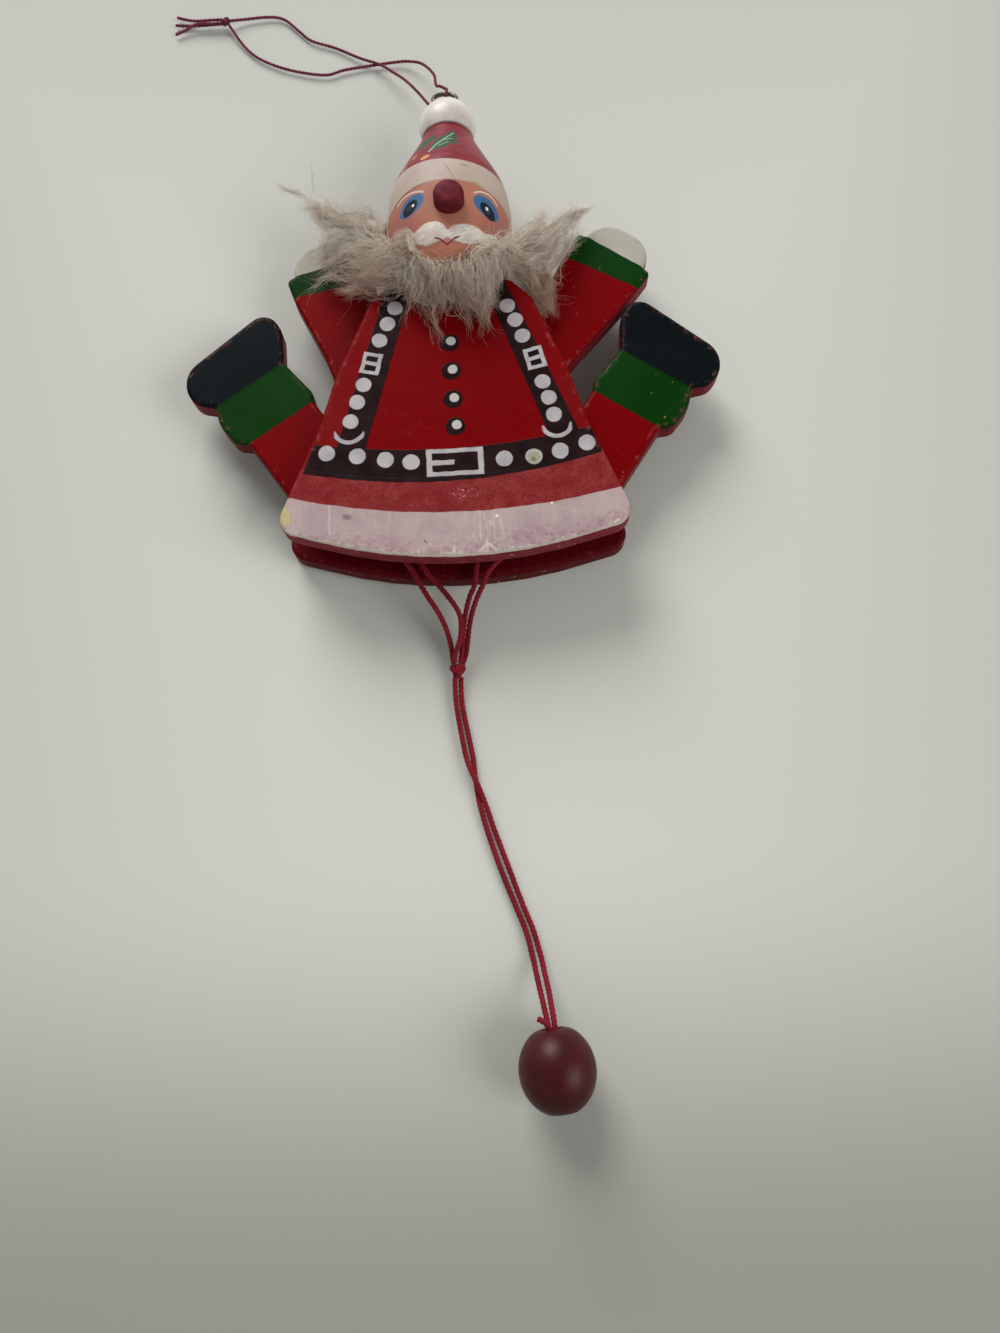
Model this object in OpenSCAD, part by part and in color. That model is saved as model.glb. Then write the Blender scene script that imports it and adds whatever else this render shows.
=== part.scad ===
// A wooden jumping jack, lying on its back with its arms and legs pulled up.
// X runs to the toy's left hand side as the viewer sees it on the right, Y runs up towards the
// head and Z comes out of the toy's front. The heights below are given from the middle of the
// hem, and every sub-part is drawn through from_hem(), which puts the origin on the back face.

/* [Boards] */
// Thickness of the front board and of the back board
board_t = 6; // [5:0.5:7]
// Gap between the two boards, where the arms and legs swing
board_gap = 6.5; // [6:0.25:8]
// Height of the boards from the middle of the hem to the neck
board_h = 70; // [69:0.5:71]
// Radius of the sanded edges
edge_r = 1; // [0.5:0.1:1.2]
// How much lower the back board sits than the front one
back_drop = 1.3; // [0:0.1:2]

/* [Arms and legs] */
// Thickness of the arms and legs
limb_t = 5.9; // [5.5:0.1:6.2]
// Arm pivot: distance from the centre line
shoulder_x = 21; // [20:0.5:22]
// Arm pivot: height above the hem
shoulder_y = 52; // [50:0.5:53]
// Leg pivot: distance from the centre line
hip_x = 27; // [26:0.5:28]
// Leg pivot: height above the hem
hip_y = 17; // [16:0.5:18]
// Reach of the right-hand arm in the picture, pivot to fingertips
arm_reach = 41.2; // [40:0.2:42]
// How much nearer to the hand the other arm is drilled
arm_drill_error = 5.5; // [0:0.5:6]
// How far the drawstring travels
pull_travel = 11.2; // [10:0.2:12]

/* [Head] */
// Largest diameter of the turned head
head_d = 30.6; // [29:0.2:30.8]
// Diameter of the ball on the hat
ball_d = 14.2; // [13:0.2:15]
// Diameter of the nose peg
nose_d = 7.2; // [6:0.2:8]

/* [Cords] */
// Diameter of the drawstring cords
cord_d = 1.3; // [1:0.1:1.3]
// Diameter of the hanging thread
thread_d = 0.8; // [0.6:0.1:0.8]
// Diameter of the pull bead
bead_d = 16.4; // [15:0.2:16.4]

/* [Hidden] */

$fn = 48;
arc_step = 12;    // degrees between points on a rounded corner
edge_steps = 2;   // facets across a sanded edge
ball_steps = 14;  // facets from the ball's seat to its pole
origin_rise = 35; // the origin's height above the hem
LEFT = -1;
RIGHT = 1;

// Heights of the layers above the back face
gap_z = board_t;
front_z = board_t + board_gap;
limb_z = gap_z + (board_gap - limb_t) / 2;
string_z = gap_z + board_gap / 2;
axis_z = front_z + board_t / 2;

// Pivots, and the turn of each limb from its raised place to hanging
raise = [["left_arm", 73], ["right_arm", 55.5], ["left_leg", 55], ["right_leg", 56]];
swing = [["left_arm", 115], ["right_arm", 97.5], ["left_leg", 133], ["right_leg", 134]];
nail_d = 2;
nail_head_d = 4.6;
nail_head_t = 0.8;
nail_recess = 1;
nail_bite = 4;       // how deep a nail goes into the front board
nail_fit = 0.02;     // radial clearance in the boards
limb_fit = 0.08;     // radial running clearance in a limb
knot_hole_d = 3;     // the string's stopper knot sits in this hole of the limb
knot_slot_w = 1.6;   // and the string leaves by this saw cut
knot_slot_l = 12;
keyhole_steps = 20;
stopper_d = 2.7;

// The neck
block_w = 14;
block_h = 10;
dowel_d = 3.6;
dowel_l = 16;

// The head's turned profile: radius as a share of the largest one, height above the hem
head_profile = [[0.62, 70.2], [0.81, 71.4], [0.94, 74.6], [0.99, 79.5], [1, 85], [0.992, 89],
                [0.955, 93], [0.886, 96.5], [0.778, 100], [0.64, 104], [0.505, 108],
                [0.385, 112.2]];
head_bottom = head_profile[0].y;
hat_top = head_profile[len(head_profile) - 1].y;
ball_y = 115.2;
spigot_d = 3.4;
spigot_l = 4.6;
nose_x = 0.8;
nose_y = 82.8;
nose_seat_z = 25;
nose_tip_z = 34.3;

// The screw eye, which leans back a little
eye_lean = 25;
eye_centre = [-0.7, 125.5, 14];
eye_ring_d = 7;
eye_wire_d = 1.1;
eye_shank_l = 9;
eye_opening = 30;

// Cord routes: x, height from the hem, z, all in millimetres
cord_sides = 8;
left_arm_route = [[-17.4, 46.4, 9.2], [-14.8, 42.3, 9.2], [-12.4, 32, 9.2], [-10.6, 18, 9.2],
                  [-9.2, 4.6, 9.2], [-7.5, -0.2, 9.2], [-4.5, -3.8, 9.4], [-2.4, -6.6, 9.6],
                  [-0.4, -9.6, 9.4], [0.4, -12.3, 8.4], [0, -16, 6.2], [-1.3, -19, 4.1],
                  [-1.6, -20.8, 3.1]];
right_arm_route = [[16.1, 46.4, 9.2], [12.9, 42.8, 9.2], [10.5, 33, 9.2], [7.5, 18, 9.2],
                   [4.8, 3, 9.2], [3.8, -3.8, 9.2], [2.6, -6.6, 9], [1.5, -10.4, 7.9],
                   [0.7, -14.5, 5.4], [0.2, -18.6, 3.3], [-0.2, -20.8, 2.8]];
left_leg_route = [[-24.6, 11.4, 9.2], [-23, 7.7, 9.2], [-20.5, 6.2, 9.2], [-16.5, 5, 9.2],
                  [-13, 3.2, 9.2], [-10.8, 0.3, 9.2], [-8.9, -3.2, 9.2], [-6.8, -6.9, 9],
                  [-4.7, -10.2, 8.4], [-3.1, -13.7, 6], [-2.3, -17, 3.6], [-2.1, -19, 2.1],
                  [-1.9, -20.8, 1.5]];
right_leg_route = [[24.6, 11.4, 9.2], [23.1, 7.8, 9.2], [20.5, 6.2, 9.2], [15.5, 4.8, 9.2],
                   [10.5, 2.6, 9.2], [7.2, -0.6, 9.2], [5.8, -3.8, 9], [4.5, -6.4, 8.8],
                   [3.2, -9.4, 7.6], [2.2, -12.8, 5.6], [1.6, -16.1, 3.6], [1.1, -18.6, 2.1],
                   [0.2, -21, 1.6]];
// The two pull cords: the middle of the pair, half the gap between them, and their roll
pull_route = [[-0.9, -24, 1.8, 0.7, 10], [-0.8, -30, 1.2, 0.7, 20], [0.3, -37, 1.2, 0.8, 20],
              [1.4, -43, 1.1, 0.8, 20], [2.2, -46.5, 1.4, 0.7, 65], [3.2, -50.5, 1.4, 0.7, 115],
              [4.3, -54.5, 1.1, 0.7, 160], [5.9, -60, 0.9, 0.8, 170], [8.6, -68, 0.9, 0.9, 175],
              [11.5, -76, 0.9, 0.8, 170], [13.8, -82, 1, 0.8, 175], [15.2, -87.5, 1.2, 0.9, 175],
              [15.9, -91, 2.5, 0.9, 180], [16.6, -94.6, 4.8, 0.9, 180],
              [17.2, -98, 7.1, 0.8, 180], [17.7, -101.2, 8.1, 0.7, 180],
              [18.1, -105, 8.3, 0.7, 180]];
stub_route = [[17.6, -103.6, 9.55], [17.3, -102.2, 9.6], [16.3, -100.9, 9.9], [15, -100.2, 9.4]];
thread_a_route = [[-0.8, 125.4, 13.6], [-1.3, 125.2, 12.4], [-2.6, 125.4, 11.4],
                  [-4.3, 126.7, 10.5], [-5.4, 128.4, 9.5], [-8.5, 135.1, 6.5],
                  [-11.9, 141.1, 4], [-15.6, 145.5, 2.4], [-19, 148.6, 1.7],
                  [-24.6, 151.7, 0.9], [-31.6, 155.8, 0.5], [-38, 158.4, 0.5],
                  [-41.4, 161.6, 0.5], [-45.6, 165.8, 0.5], [-49.9, 167, 0.5],
                  [-56.9, 166.4, 0.7], [-60.9, 165.5, 1.3]];
thread_b_route = [[-0.8, 125.4, 13.6], [-0.3, 125.6, 14.8], [-0.1, 127.4, 14.9],
                  [-0.4, 129.2, 13.3], [-2, 131.8, 11.5], [-3, 132.9, 10.5],
                  [-3.4, 136, 8.6], [-3.8, 139.5, 7], [-5.6, 144.2, 4.5], [-7.9, 147.7, 2.6],
                  [-10.2, 149.2, 1.6], [-13.5, 150.1, 0.8], [-20.5, 149.6, 0.5],
                  [-28.8, 148.4, 0.5], [-34.3, 147, 0.5], [-43.9, 149.1, 0.5],
                  [-51.8, 152.8, 0.5], [-56.6, 157.3, 0.6], [-61.2, 164.4, 1.3]];
tail_routes = [[[-62.9, 165.7, 1.6], [-66, 165.8, 1.5], [-70, 165.9, 1.3], [-73, 166.9, 0.8],
                [-75.8, 168, 0.6]],
               [[-62.9, 165.2, 0.7], [-67, 165.2, 0.5], [-71, 165.1, 0.5], [-76.2, 165.5, 0.5]],
               [[-62.9, 164.6, 1.6], [-66, 164.6, 1.5], [-70, 164.8, 1.4], [-73, 163.6, 0.8],
                [-76.1, 162.3, 0.6]]];
gather_at = [-0.9, -22.4, 2.15];
gather_d = 4.2;
thread_knot_at = [-62, 165.2, 1.4];
thread_knot_d = 2.7;

// The pull bead: its middle, length, the lean of its hole and the hole's diameter
bead_at = [18.7, -110.6, 8.3];
bead_l = 16.7;
bead_lean = 6;
bead_hole_d = 4.4;
bead_hole_l = 7;

// Locks of the beard: puffs from root to tip, each x, height from the hem, z and radius
beard_clear = 0.05;
beard_floor_z = front_z + 0.2;
puff_fn = 12;
locks = [[[-2, 75, 24, 7], [0, 67, 22.5, 6.4], [2.5, 60.5, 20.5, 2.6]],
         [[-12, 77, 21.5, 7.5], [-9, 70, 21.5, 6], [-5.5, 63.5, 20.4, 2.6]],
         [[-18, 80, 20, 7.5], [-20.5, 75.5, 20, 5.4], [-22, 72.5, 19.8, 3]],
         [[10, 76, 21.5, 7.5], [8.5, 69, 21.5, 5.6], [6.5, 63, 20.2, 2.6]],
         [[16, 80, 20, 7], [18.5, 74, 20.5, 4.6], [19.5, 70.5, 19.8, 2.6]],
         [[-18, 86, 17.5, 8], [-26, 90, 17.5, 7.4], [-34, 97, 16.5, 4.6], [-42, 103, 15, 1.6]],
         [[-19, 80, 18, 7.5], [-26.5, 81, 18.5, 6], [-31, 84, 17.5, 4.4]],
         [[17, 84, 17.5, 6.5], [23, 86, 18, 5.2], [29, 90.5, 17.5, 3], [33, 94.5, 16.5, 1.2]],
         [[17, 79, 18.5, 6.5], [23.5, 78.5, 19, 4.6], [28.5, 83.5, 18, 2.8]]];

// Geometry helpers

function unit(v) = v / norm(v);

function lookup_name(table, name) = [for (row = table) if (row[0] == name) row[1]][0];

// The arc of radius r that rounds corner b of the path a, b, c
function corner(a, b, c, r) =
    let (u = unit(a - b),
         v = unit(c - b),
         half = acos(u * v) / 2)
    r <= 0 ? [b] :
    let (centre = b + unit(u + v) * r / sin(half),
         p = b + u * r / tan(half),
         q = b + v * r / tan(half),
         start = atan2(p.y - centre.y, p.x - centre.x),
         end = atan2(q.y - centre.y, q.x - centre.x),
         turn = (end - start + 540) % 360 - 180,
         steps = max(1, ceil(abs(turn) / arc_step)))
    [for (i = [0:steps]) centre + r * [cos(start + turn * i / steps), sin(start + turn * i / steps)]];

// A closed outline from corners given as x, y and radius
function rounded(path) =
    let (n = len(path))
    [for (i = [0:n - 1])
        let (a = path[(i + n - 1) % n], b = path[i], c = path[(i + 1) % n])
        each corner([a.x, a.y], [b.x, b.y], [c.x, c.y], b.z)];

// An anticlockwise outline moved inwards by d
function inset(points, d) =
    let (n = len(points))
    [for (i = [0:n - 1])
        let (before = unit(points[i] - points[(i + n - 1) % n]),
             after = unit(points[(i + 1) % n] - points[i]),
             along = unit(before + after))
        points[i] + d * [-along.y, along.x]];

// A smooth curve through points, with a few steps between each two
function smooth(points, steps) =
    let (n = len(points))
    [for (i = [0:n - 2])
        let (a = points[max(i - 1, 0)], b = points[i], c = points[i + 1],
             d = points[min(i + 2, n - 1)])
        for (k = [0:steps - 1])
            let (t = k / steps)
            0.5 * (2 * b + (c - a) * t + (2 * a - 5 * b + 4 * c - d) * t * t
                   + (3 * b - a - 3 * c + d) * t * t * t),
     points[n - 1]];

// Side vectors carried along a route without twisting
function carried(along, i, side) =
    i >= len(along) ? [] :
    let (s = unit(side - (side * along[i]) * along[i]))
    concat([s], carried(along, i + 1, s));

function route_directions(route) =
    let (n = len(route))
    [for (i = [0:n - 1]) unit(route[min(i + 1, n - 1)] - route[max(i - 1, 0)])];

// One cord of the pair: the side is 1 or -1
function pair_route(side) =
    let (middle = [for (p = pull_route) [p.x, p.y, p.z]],
         along = route_directions(middle))
    [for (i = [0:len(middle) - 1])
        let (across = unit([along[i].y, -along[i].x, 0]), roll = pull_route[i][4])
        middle[i] + side * pull_route[i][3] * (across * cos(roll) + [0, 0, sin(roll)])];

// Shapes that repeat

module from_hem() translate([0, -origin_rise, 0]) children();

// Drawn as the limb on the left of the picture, and mirrored for the right
module on_side(side) mirror([side == RIGHT ? 1 : 0, 0, 0]) children();

// A board cut to an anticlockwise outline, with its edges sanded round. Its flat faces are drawn as
// triangles round the hub, a point inside the outline that sees all of it.
module slab(outline, t, r, hub) {
    n = len(outline);
    rise = [for (k = [0:edge_steps]) [r * (1 - sin(90 * k / edge_steps)), r * (1 - cos(90 * k / edge_steps))]];
    levels = concat(rise, [for (k = [edge_steps:-1:0]) [rise[k][0], t - rise[k][1]]]);
    top = (len(levels) - 1) * n;
    low_hub = len(levels) * n;
    points = concat([for (level = levels) for (p = inset(outline, level[0])) [p.x, p.y, level[1]]],
                    [[hub.x, hub.y, 0], [hub.x, hub.y, t]]);
    walls = [for (k = [0:len(levels) - 2]) for (i = [0:n - 1])
        [k * n + i, (k + 1) * n + i, (k + 1) * n + (i + 1) % n, k * n + (i + 1) % n]];
    flats = [for (i = [0:n - 1]) each [[low_hub, i, (i + 1) % n],
                                       [low_hub + 1, top + (i + 1) % n, top + i]]];
    polyhedron(points, concat(walls, flats));
}

// A cord laid along a route, as one closed tube
module tube(route, d) {
    n = len(route);
    along = route_directions(route);
    side = carried(along, 0, [0.1, 0.2, 1]);
    points = [for (i = [0:n - 1]) for (k = [0:cord_sides - 1])
        let (a = 360 * k / cord_sides)
        route[i] + d / 2 * (side[i] * cos(a) + cross(along[i], side[i]) * sin(a))];
    walls = [for (i = [0:n - 2]) for (k = [0:cord_sides - 1])
        let (next = (k + 1) % cord_sides)
        [i * cord_sides + k, (i + 1) * cord_sides + k, (i + 1) * cord_sides + next, i * cord_sides + next]];
    polyhedron(points, concat([[for (k = [0:cord_sides - 1]) k]], walls,
        [[for (k = [cord_sides - 1:-1:0]) (n - 1) * cord_sides + k]]));
}

module ball(at, d) translate(at) sphere(d = d, $fn = 32);

// Boards

hem_arc_r = 107;
board_hub = [0, 30];
function hem_y(x) = hem_arc_r - sqrt(hem_arc_r * hem_arc_r - x * x);

// Right half of the boards, from the hem to the neck: x, y, corner radius
board_side = [[41.6, 7.6, 4.5], [31.2, 33, 40], [27.6, 45.5, 40], [19.4, 65.2, 3.5],
              [14.4, board_h, 2]];
function board_outline() =
    rounded(concat([for (x = [-32:8:32]) [x, hem_y(x), 0]],
                   board_side,
                   [for (i = [len(board_side) - 1:-1:0]) [-board_side[i].x, board_side[i].y, board_side[i].z]]));

module nail_holes(z, depth, fit) {
    for (p = [[shoulder_x, shoulder_y], [hip_x, hip_y]], side = [LEFT, RIGHT])
        translate([side * p.x, p.y, z]) cylinder(d = nail_d + 2 * fit, h = depth);
}

module back_board() from_hem() color("#5a1418") difference() {
    translate([0, -back_drop, 0]) slab(board_outline(), board_t, edge_r, board_hub);
    nail_holes(-1, board_t + 2, nail_fit);
    for (p = [[shoulder_x, shoulder_y], [hip_x, hip_y]], side = [LEFT, RIGHT])
        translate([side * p.x, p.y, -1]) cylinder(d = nail_head_d + 0.4, h = nail_recess + 1);
}

module front_board() from_hem() color("#8c1a1f") difference() {
    translate([0, 0, front_z]) slab(board_outline(), board_t, edge_r, board_hub);
    nail_holes(front_z - 1, nail_bite + 1.2, nail_fit);
    translate([0, board_h + 1, axis_z]) rotate([90, 0, 0])
        cylinder(d = dowel_d + 2 * nail_fit, h = dowel_l / 2 + 1.2);
}

module neck_block() from_hem() color("#a07850")
    translate([0, 0, gap_z]) linear_extrude(board_gap)
        polygon(rounded([for (c = [[-1, 0], [1, 0], [1, 1], [-1, 1]])
            [c.x * block_w / 2, board_h - back_drop - 0.5 - block_h + c.y * block_h, 1.5]]));

module neck_dowel() from_hem() color("#c8a878")
    translate([0, board_h + dowel_l / 2, axis_z]) rotate([90, 0, 0])
        rotate_extrude() polygon([[0, 0], [dowel_d / 2 - 0.4, 0], [dowel_d / 2, 0.4],
            [dowel_d / 2, dowel_l - 0.4], [dowel_d / 2 - 0.4, dowel_l], [0, dowel_l]]);

// Head

function head_curve() = smooth([for (p = head_profile) [p.x * head_d / 2, p.y]], 3);

module head() from_hem() color("#c98d78") difference() {
    translate([0, 0, axis_z]) rotate([-90, 0, 0]) rotate_extrude(angle = 360)
        polygon(concat([[0, head_bottom]], head_curve(),
            [[spigot_d / 2, hat_top], [spigot_d / 2, hat_top + spigot_l], [0, hat_top + spigot_l]]));
    translate([0, head_bottom - 1, axis_z]) rotate([-90, 0, 0])
        cylinder(d = dowel_d + 2 * nail_fit, h = dowel_l / 2 + 1.2);
    translate([nose_x, nose_y, nose_seat_z]) cylinder(d = nose_d + 2 * nail_fit, h = 12);
}

// A peg with a domed end, glued into the face
module nose_peg() from_hem() color("#7a1c22") {
    l = nose_tip_z - nose_seat_z;
    r = nose_d / 2;
    dome = 1.6;
    translate([nose_x, nose_y, nose_seat_z + 0.1]) rotate_extrude()
        polygon(concat([[0, 0], [r, 0]],
            [for (a = [0:15:90]) [r - dome + dome * cos(a), l - dome + dome * sin(a)]],
            [[0, l + 0.15]]));
}

// A ball with a flat seat on the hat, drilled for the hat's spigot and for the screw eye
module hat_ball() from_hem() color("#e8e2da") {
    seat = hat_top - ball_y;
    low = asin(seat / (ball_d / 2));
    difference() {
        translate([0, ball_y, axis_z]) rotate([-90, 0, 0]) rotate_extrude()
            polygon(concat([[0, seat]],
                [for (k = [0:ball_steps]) let (a = low + (90 - low) * k / ball_steps)
                    ball_d / 2 * [k == ball_steps ? 0 : cos(a), sin(a)]]));
        translate([0, hat_top - 1, axis_z]) rotate([-90, 0, 0])
            cylinder(d = spigot_d + 0.1, h = spigot_l + 1.3);
        eye_place() rotate([90, 0, 0]) cylinder(d = eye_wire_d + 0.3, h = eye_shank_l + 0.3);
    }
}

// The middle of the ring, with the ring's plane as XY and the shank along -Y
module eye_place() translate(eye_centre) rotate([-eye_lean, 0, 0]) children();

module screw_eye() from_hem() color("#6b6248") eye_place() {
    ring_r = (eye_ring_d - eye_wire_d) / 2;
    rotate([0, 0, -90]) rotate_extrude(angle = 360 - eye_opening)
        translate([ring_r, 0]) circle(d = eye_wire_d, $fn = 24);
    translate([0, -ring_r, 0]) rotate([90, 0, 0])
        cylinder(d = eye_wire_d + 0.2, h = eye_shank_l - ring_r, $fn = 24);
}

// Beard: locks of hair, cut away where the head, the board and the arms are
module lock(puffs) {
    for (i = [0:len(puffs) - 2]) hull() {
        for (p = [puffs[i], puffs[i + 1]]) translate([p.x, p.y, p.z]) sphere(r = p[3], $fn = puff_fn);
    }
}

module beard() from_hem() color("#b5aca0") difference() {
    for (puffs = locks) lock(puffs);
    translate([-60, 40, -1]) cube([120, 80, beard_floor_z + 1]);
    translate([0, 0, -1]) linear_extrude(front_z + board_t + 1.1) polygon(board_outline());
    translate([0, 0, axis_z]) rotate([-90, 0, 0]) rotate_extrude()
        polygon(concat([[0, head_bottom - 2], [head_profile[0].x * head_d / 2, head_bottom - 2]],
            [for (p = head_curve()) [p.x + beard_clear, p.y]], [[0, hat_top]]));
    translate([nose_x, nose_y, nose_seat_z]) cylinder(d = nose_d + 1, h = 12);
}

// Arms and legs, along X from the pivot, with the outer edge at +Y

arm_hub = [16, 0];
leg_hub = [31, 0];

function arm_outline(reach) =
    let (cuff = reach - 14.2, wrist = reach - 6.6)
    rounded([[-11, -7.2, 6.4], [4, -7.2, 40], [cuff, -10.2, 20], [wrist, -10.6, 1.4],
             [wrist, -8.4, 0.6], [reach, -7.6, 6.8], [reach, 7.6, 6.8], [wrist, 8.4, 0.6],
             [wrist, 10.6, 1.4], [cuff, 10.2, 20], [4, 7.2, 40], [-11, 7.2, 6.4]]);

// Heel on the inner edge, toe on the outer one
function leg_outline() =
    rounded([[-9.3, -9.3, 9.2], [25, -9.3, 0.8], [27.4, -10.5, 3], [38.2, -9.3, 0.8],
             [45.5, -13.8, 6], [52.9, -14.2, 4.2], [50.3, 14.4, 6.8], [41.4, 13.9, 4],
             [38.1, 10.7, 0.7], [33.5, 12.4, 8], [27.2, 11.9, 3], [25, 9.3, 0.8], [-9.3, 9.3, 9.2]]);

// A round hole for the stopper knot, with a saw cut out of it along +X
function keyhole() =
    let (half = asin(knot_slot_w / knot_hole_d), turn = (360 - 2 * half) / keyhole_steps)
    concat([for (k = [0:keyhole_steps]) knot_hole_d / 2 * [cos(half + turn * k), sin(half + turn * k)]],
           [[knot_slot_l, -knot_slot_w / 2], [knot_slot_l, knot_slot_w / 2]]);

// A limb with its pivot bore, and the keyhole that holds its string
module limb(name, side, pivot, outline, hub) {
    up = lookup_name(raise, name);
    turn = lookup_name(swing, name);
    lever = pull_travel / 2 / sin(turn / 2);
    on_side(side) translate([-pivot.x, pivot.y, limb_z]) rotate([0, 0, 180 - up]) difference() {
        slab(outline, limb_t, edge_r, hub);
        translate([0, 0, -1]) cylinder(d = nail_d + 2 * limb_fit, h = limb_t + 2);
        rotate([0, 0, 180 - turn / 2 + up]) translate([lever, 0, -1])
            linear_extrude(limb_t + 2) polygon(keyhole());
    }
}

module left_arm() from_hem() color("#9a1b20")
    limb("left_arm", LEFT, [shoulder_x, shoulder_y],
         [for (p = arm_outline(arm_reach - arm_drill_error)) p + [0, 1.5]], arm_hub);
module right_arm() from_hem() color("#9a1b20")
    limb("right_arm", RIGHT, [shoulder_x, shoulder_y], arm_outline(arm_reach), arm_hub);
module left_leg() from_hem() color("#9a1b20")
    limb("left_leg", LEFT, [hip_x, hip_y], leg_outline(), leg_hub);
module right_leg() from_hem() color("#9a1b20")
    limb("right_leg", RIGHT, [hip_x, hip_y], leg_outline(), leg_hub);

// Pivot nails, driven in from the back, with their heads below the back face
module nail(side, pivot) {
    l = front_z + nail_bite;
    r = nail_d / 2;
    on_side(side) translate([-pivot.x, pivot.y, 0]) rotate_extrude()
        polygon([[0, nail_recess - nail_head_t], [nail_head_d / 2 - 0.3, nail_recess - nail_head_t],
                 [nail_head_d / 2, nail_recess - nail_head_t + 0.3], [nail_head_d / 2, nail_recess],
                 [r, nail_recess], [r, l - 1], [0.3, l], [0, l]]);
}

module left_shoulder_nail() from_hem() color("#8e8e8a") nail(LEFT, [shoulder_x, shoulder_y]);
module right_shoulder_nail() from_hem() color("#8e8e8a") nail(RIGHT, [shoulder_x, shoulder_y]);
module left_hip_nail() from_hem() color("#8e8e8a") nail(LEFT, [hip_x, hip_y]);
module right_hip_nail() from_hem() color("#8e8e8a") nail(RIGHT, [hip_x, hip_y]);

// Strings from the limbs to the gathering knot, with a stopper knot at the limb's end
module limb_string(route) {
    tube(route, cord_d);
    ball(route[0], stopper_d);
}

module left_arm_string() from_hem() color("#6e2a30") limb_string(left_arm_route);
module right_arm_string() from_hem() color("#6e2a30") limb_string(right_arm_route);
module left_leg_string() from_hem() color("#6e2a30") limb_string(left_leg_route);
module right_leg_string() from_hem() color("#6e2a30") limb_string(right_leg_route);
module gather_knot() from_hem() color("#6e2a30") ball(gather_at, gather_d);
module pull_cord_a() from_hem() color("#6e2a30") tube(pair_route(1), cord_d);
module pull_cord_b() from_hem() color("#6e2a30") tube(pair_route(-1), cord_d);
module cord_stub() from_hem() color("#6e2a30") tube(stub_route, cord_d);

// A turned bead with a blind hole that the cords are glued into
module pull_bead() from_hem() color("#4a1418")
    translate(bead_at) rotate([0, 0, bead_lean]) translate([0, -bead_l / 2, 0]) difference() {
        rotate([-90, 0, 0]) rotate_extrude()
            polygon(concat([[0, 0]], smooth([for (a = [-66:12:66])
                [bead_d / 2 * cos(a) + 0.02, bead_l / 2 + bead_l / 2 / sin(66) * sin(a)]], 2), [[0, bead_l]]));
        translate([0, bead_l - bead_hole_l, 0]) rotate([-90, 0, 0])
            cylinder(d = bead_hole_d, h = bead_hole_l + 1);
    }

// The hanging thread, from inside the screw eye to the knot on both sides
module hanging_thread_a() from_hem() color("#5c2f38") tube(thread_a_route, thread_d);
module hanging_thread_b() from_hem() color("#5c2f38") tube(thread_b_route, thread_d);
module thread_knot() from_hem() color("#5c2f38") ball(thread_knot_at, thread_knot_d);
module thread_tails() from_hem() color("#5c2f38") for (route = tail_routes) tube(route, thread_d);

back_board();
front_board();
neck_block();
neck_dowel();
head();
nose_peg();
hat_ball();
screw_eye();
beard();
left_arm();
right_arm();
left_leg();
right_leg();
left_shoulder_nail();
right_shoulder_nail();
left_hip_nail();
right_hip_nail();
left_arm_string();
right_arm_string();
left_leg_string();
right_leg_string();
gather_knot();
pull_cord_a();
pull_cord_b();
cord_stub();
pull_bead();
hanging_thread_a();
hanging_thread_b();
thread_knot();
thread_tails();
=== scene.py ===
"""Dresses a packed jumping jack toy: painted boards and limbs, a turned head, hair and cords.

Shapes are drawn in millimetres, with heights taken from the middle of the hem as in the part's
source, and are brought into the frame's metres when a piece is finished.
"""
import math
import random

import bmesh
import bpy
import numpy as np
from mathutils import Matrix, Vector, noise


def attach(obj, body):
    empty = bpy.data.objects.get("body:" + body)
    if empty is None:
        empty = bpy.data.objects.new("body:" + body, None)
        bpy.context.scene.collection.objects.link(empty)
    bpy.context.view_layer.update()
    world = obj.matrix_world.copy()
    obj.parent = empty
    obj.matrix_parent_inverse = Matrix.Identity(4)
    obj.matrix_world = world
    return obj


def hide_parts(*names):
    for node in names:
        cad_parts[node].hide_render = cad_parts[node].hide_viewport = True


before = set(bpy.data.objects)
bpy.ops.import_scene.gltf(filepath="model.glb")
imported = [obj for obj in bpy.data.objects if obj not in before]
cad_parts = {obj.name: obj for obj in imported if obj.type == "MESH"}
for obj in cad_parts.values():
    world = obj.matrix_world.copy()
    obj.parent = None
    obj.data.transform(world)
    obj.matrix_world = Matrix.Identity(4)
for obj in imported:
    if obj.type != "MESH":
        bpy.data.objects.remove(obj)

bl_info = {
    "name": "Jumping Jack Toy",
    "version": (1, 0, 0),
    "blender": (4, 5, 0),
    "location": "3D View > Sidebar > Jumping Jack",
    "description": "Builds the painted parts, hair and cords of a wooden jumping jack",
    "category": "Object",
}

# Placement in the frame

MM = 0.001
ORIGIN_RISE = 35
TO_FRAME = Matrix.Scale(MM, 4) @ Matrix.Translation((0, -ORIGIN_RISE, 0))

# Stock: where the front board and the limbs start, their thickness, the head's axis, the radius
# of the sanded edges, and how much lower the back board sits

FRONT_Z = 12.5
BOARD_T = 6
TOP_Z = FRONT_Z + BOARD_T
LIMB_Z = 6.3
LIMB_T = 5.9
AXIS_Z = FRONT_Z + BOARD_T / 2
SANDED = 1
BACK_DROP = 1.3

# Sizes and places, as in the part's source. An outline has x, y and corner radius, the head's
# profile its share of the radius and the height.

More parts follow.
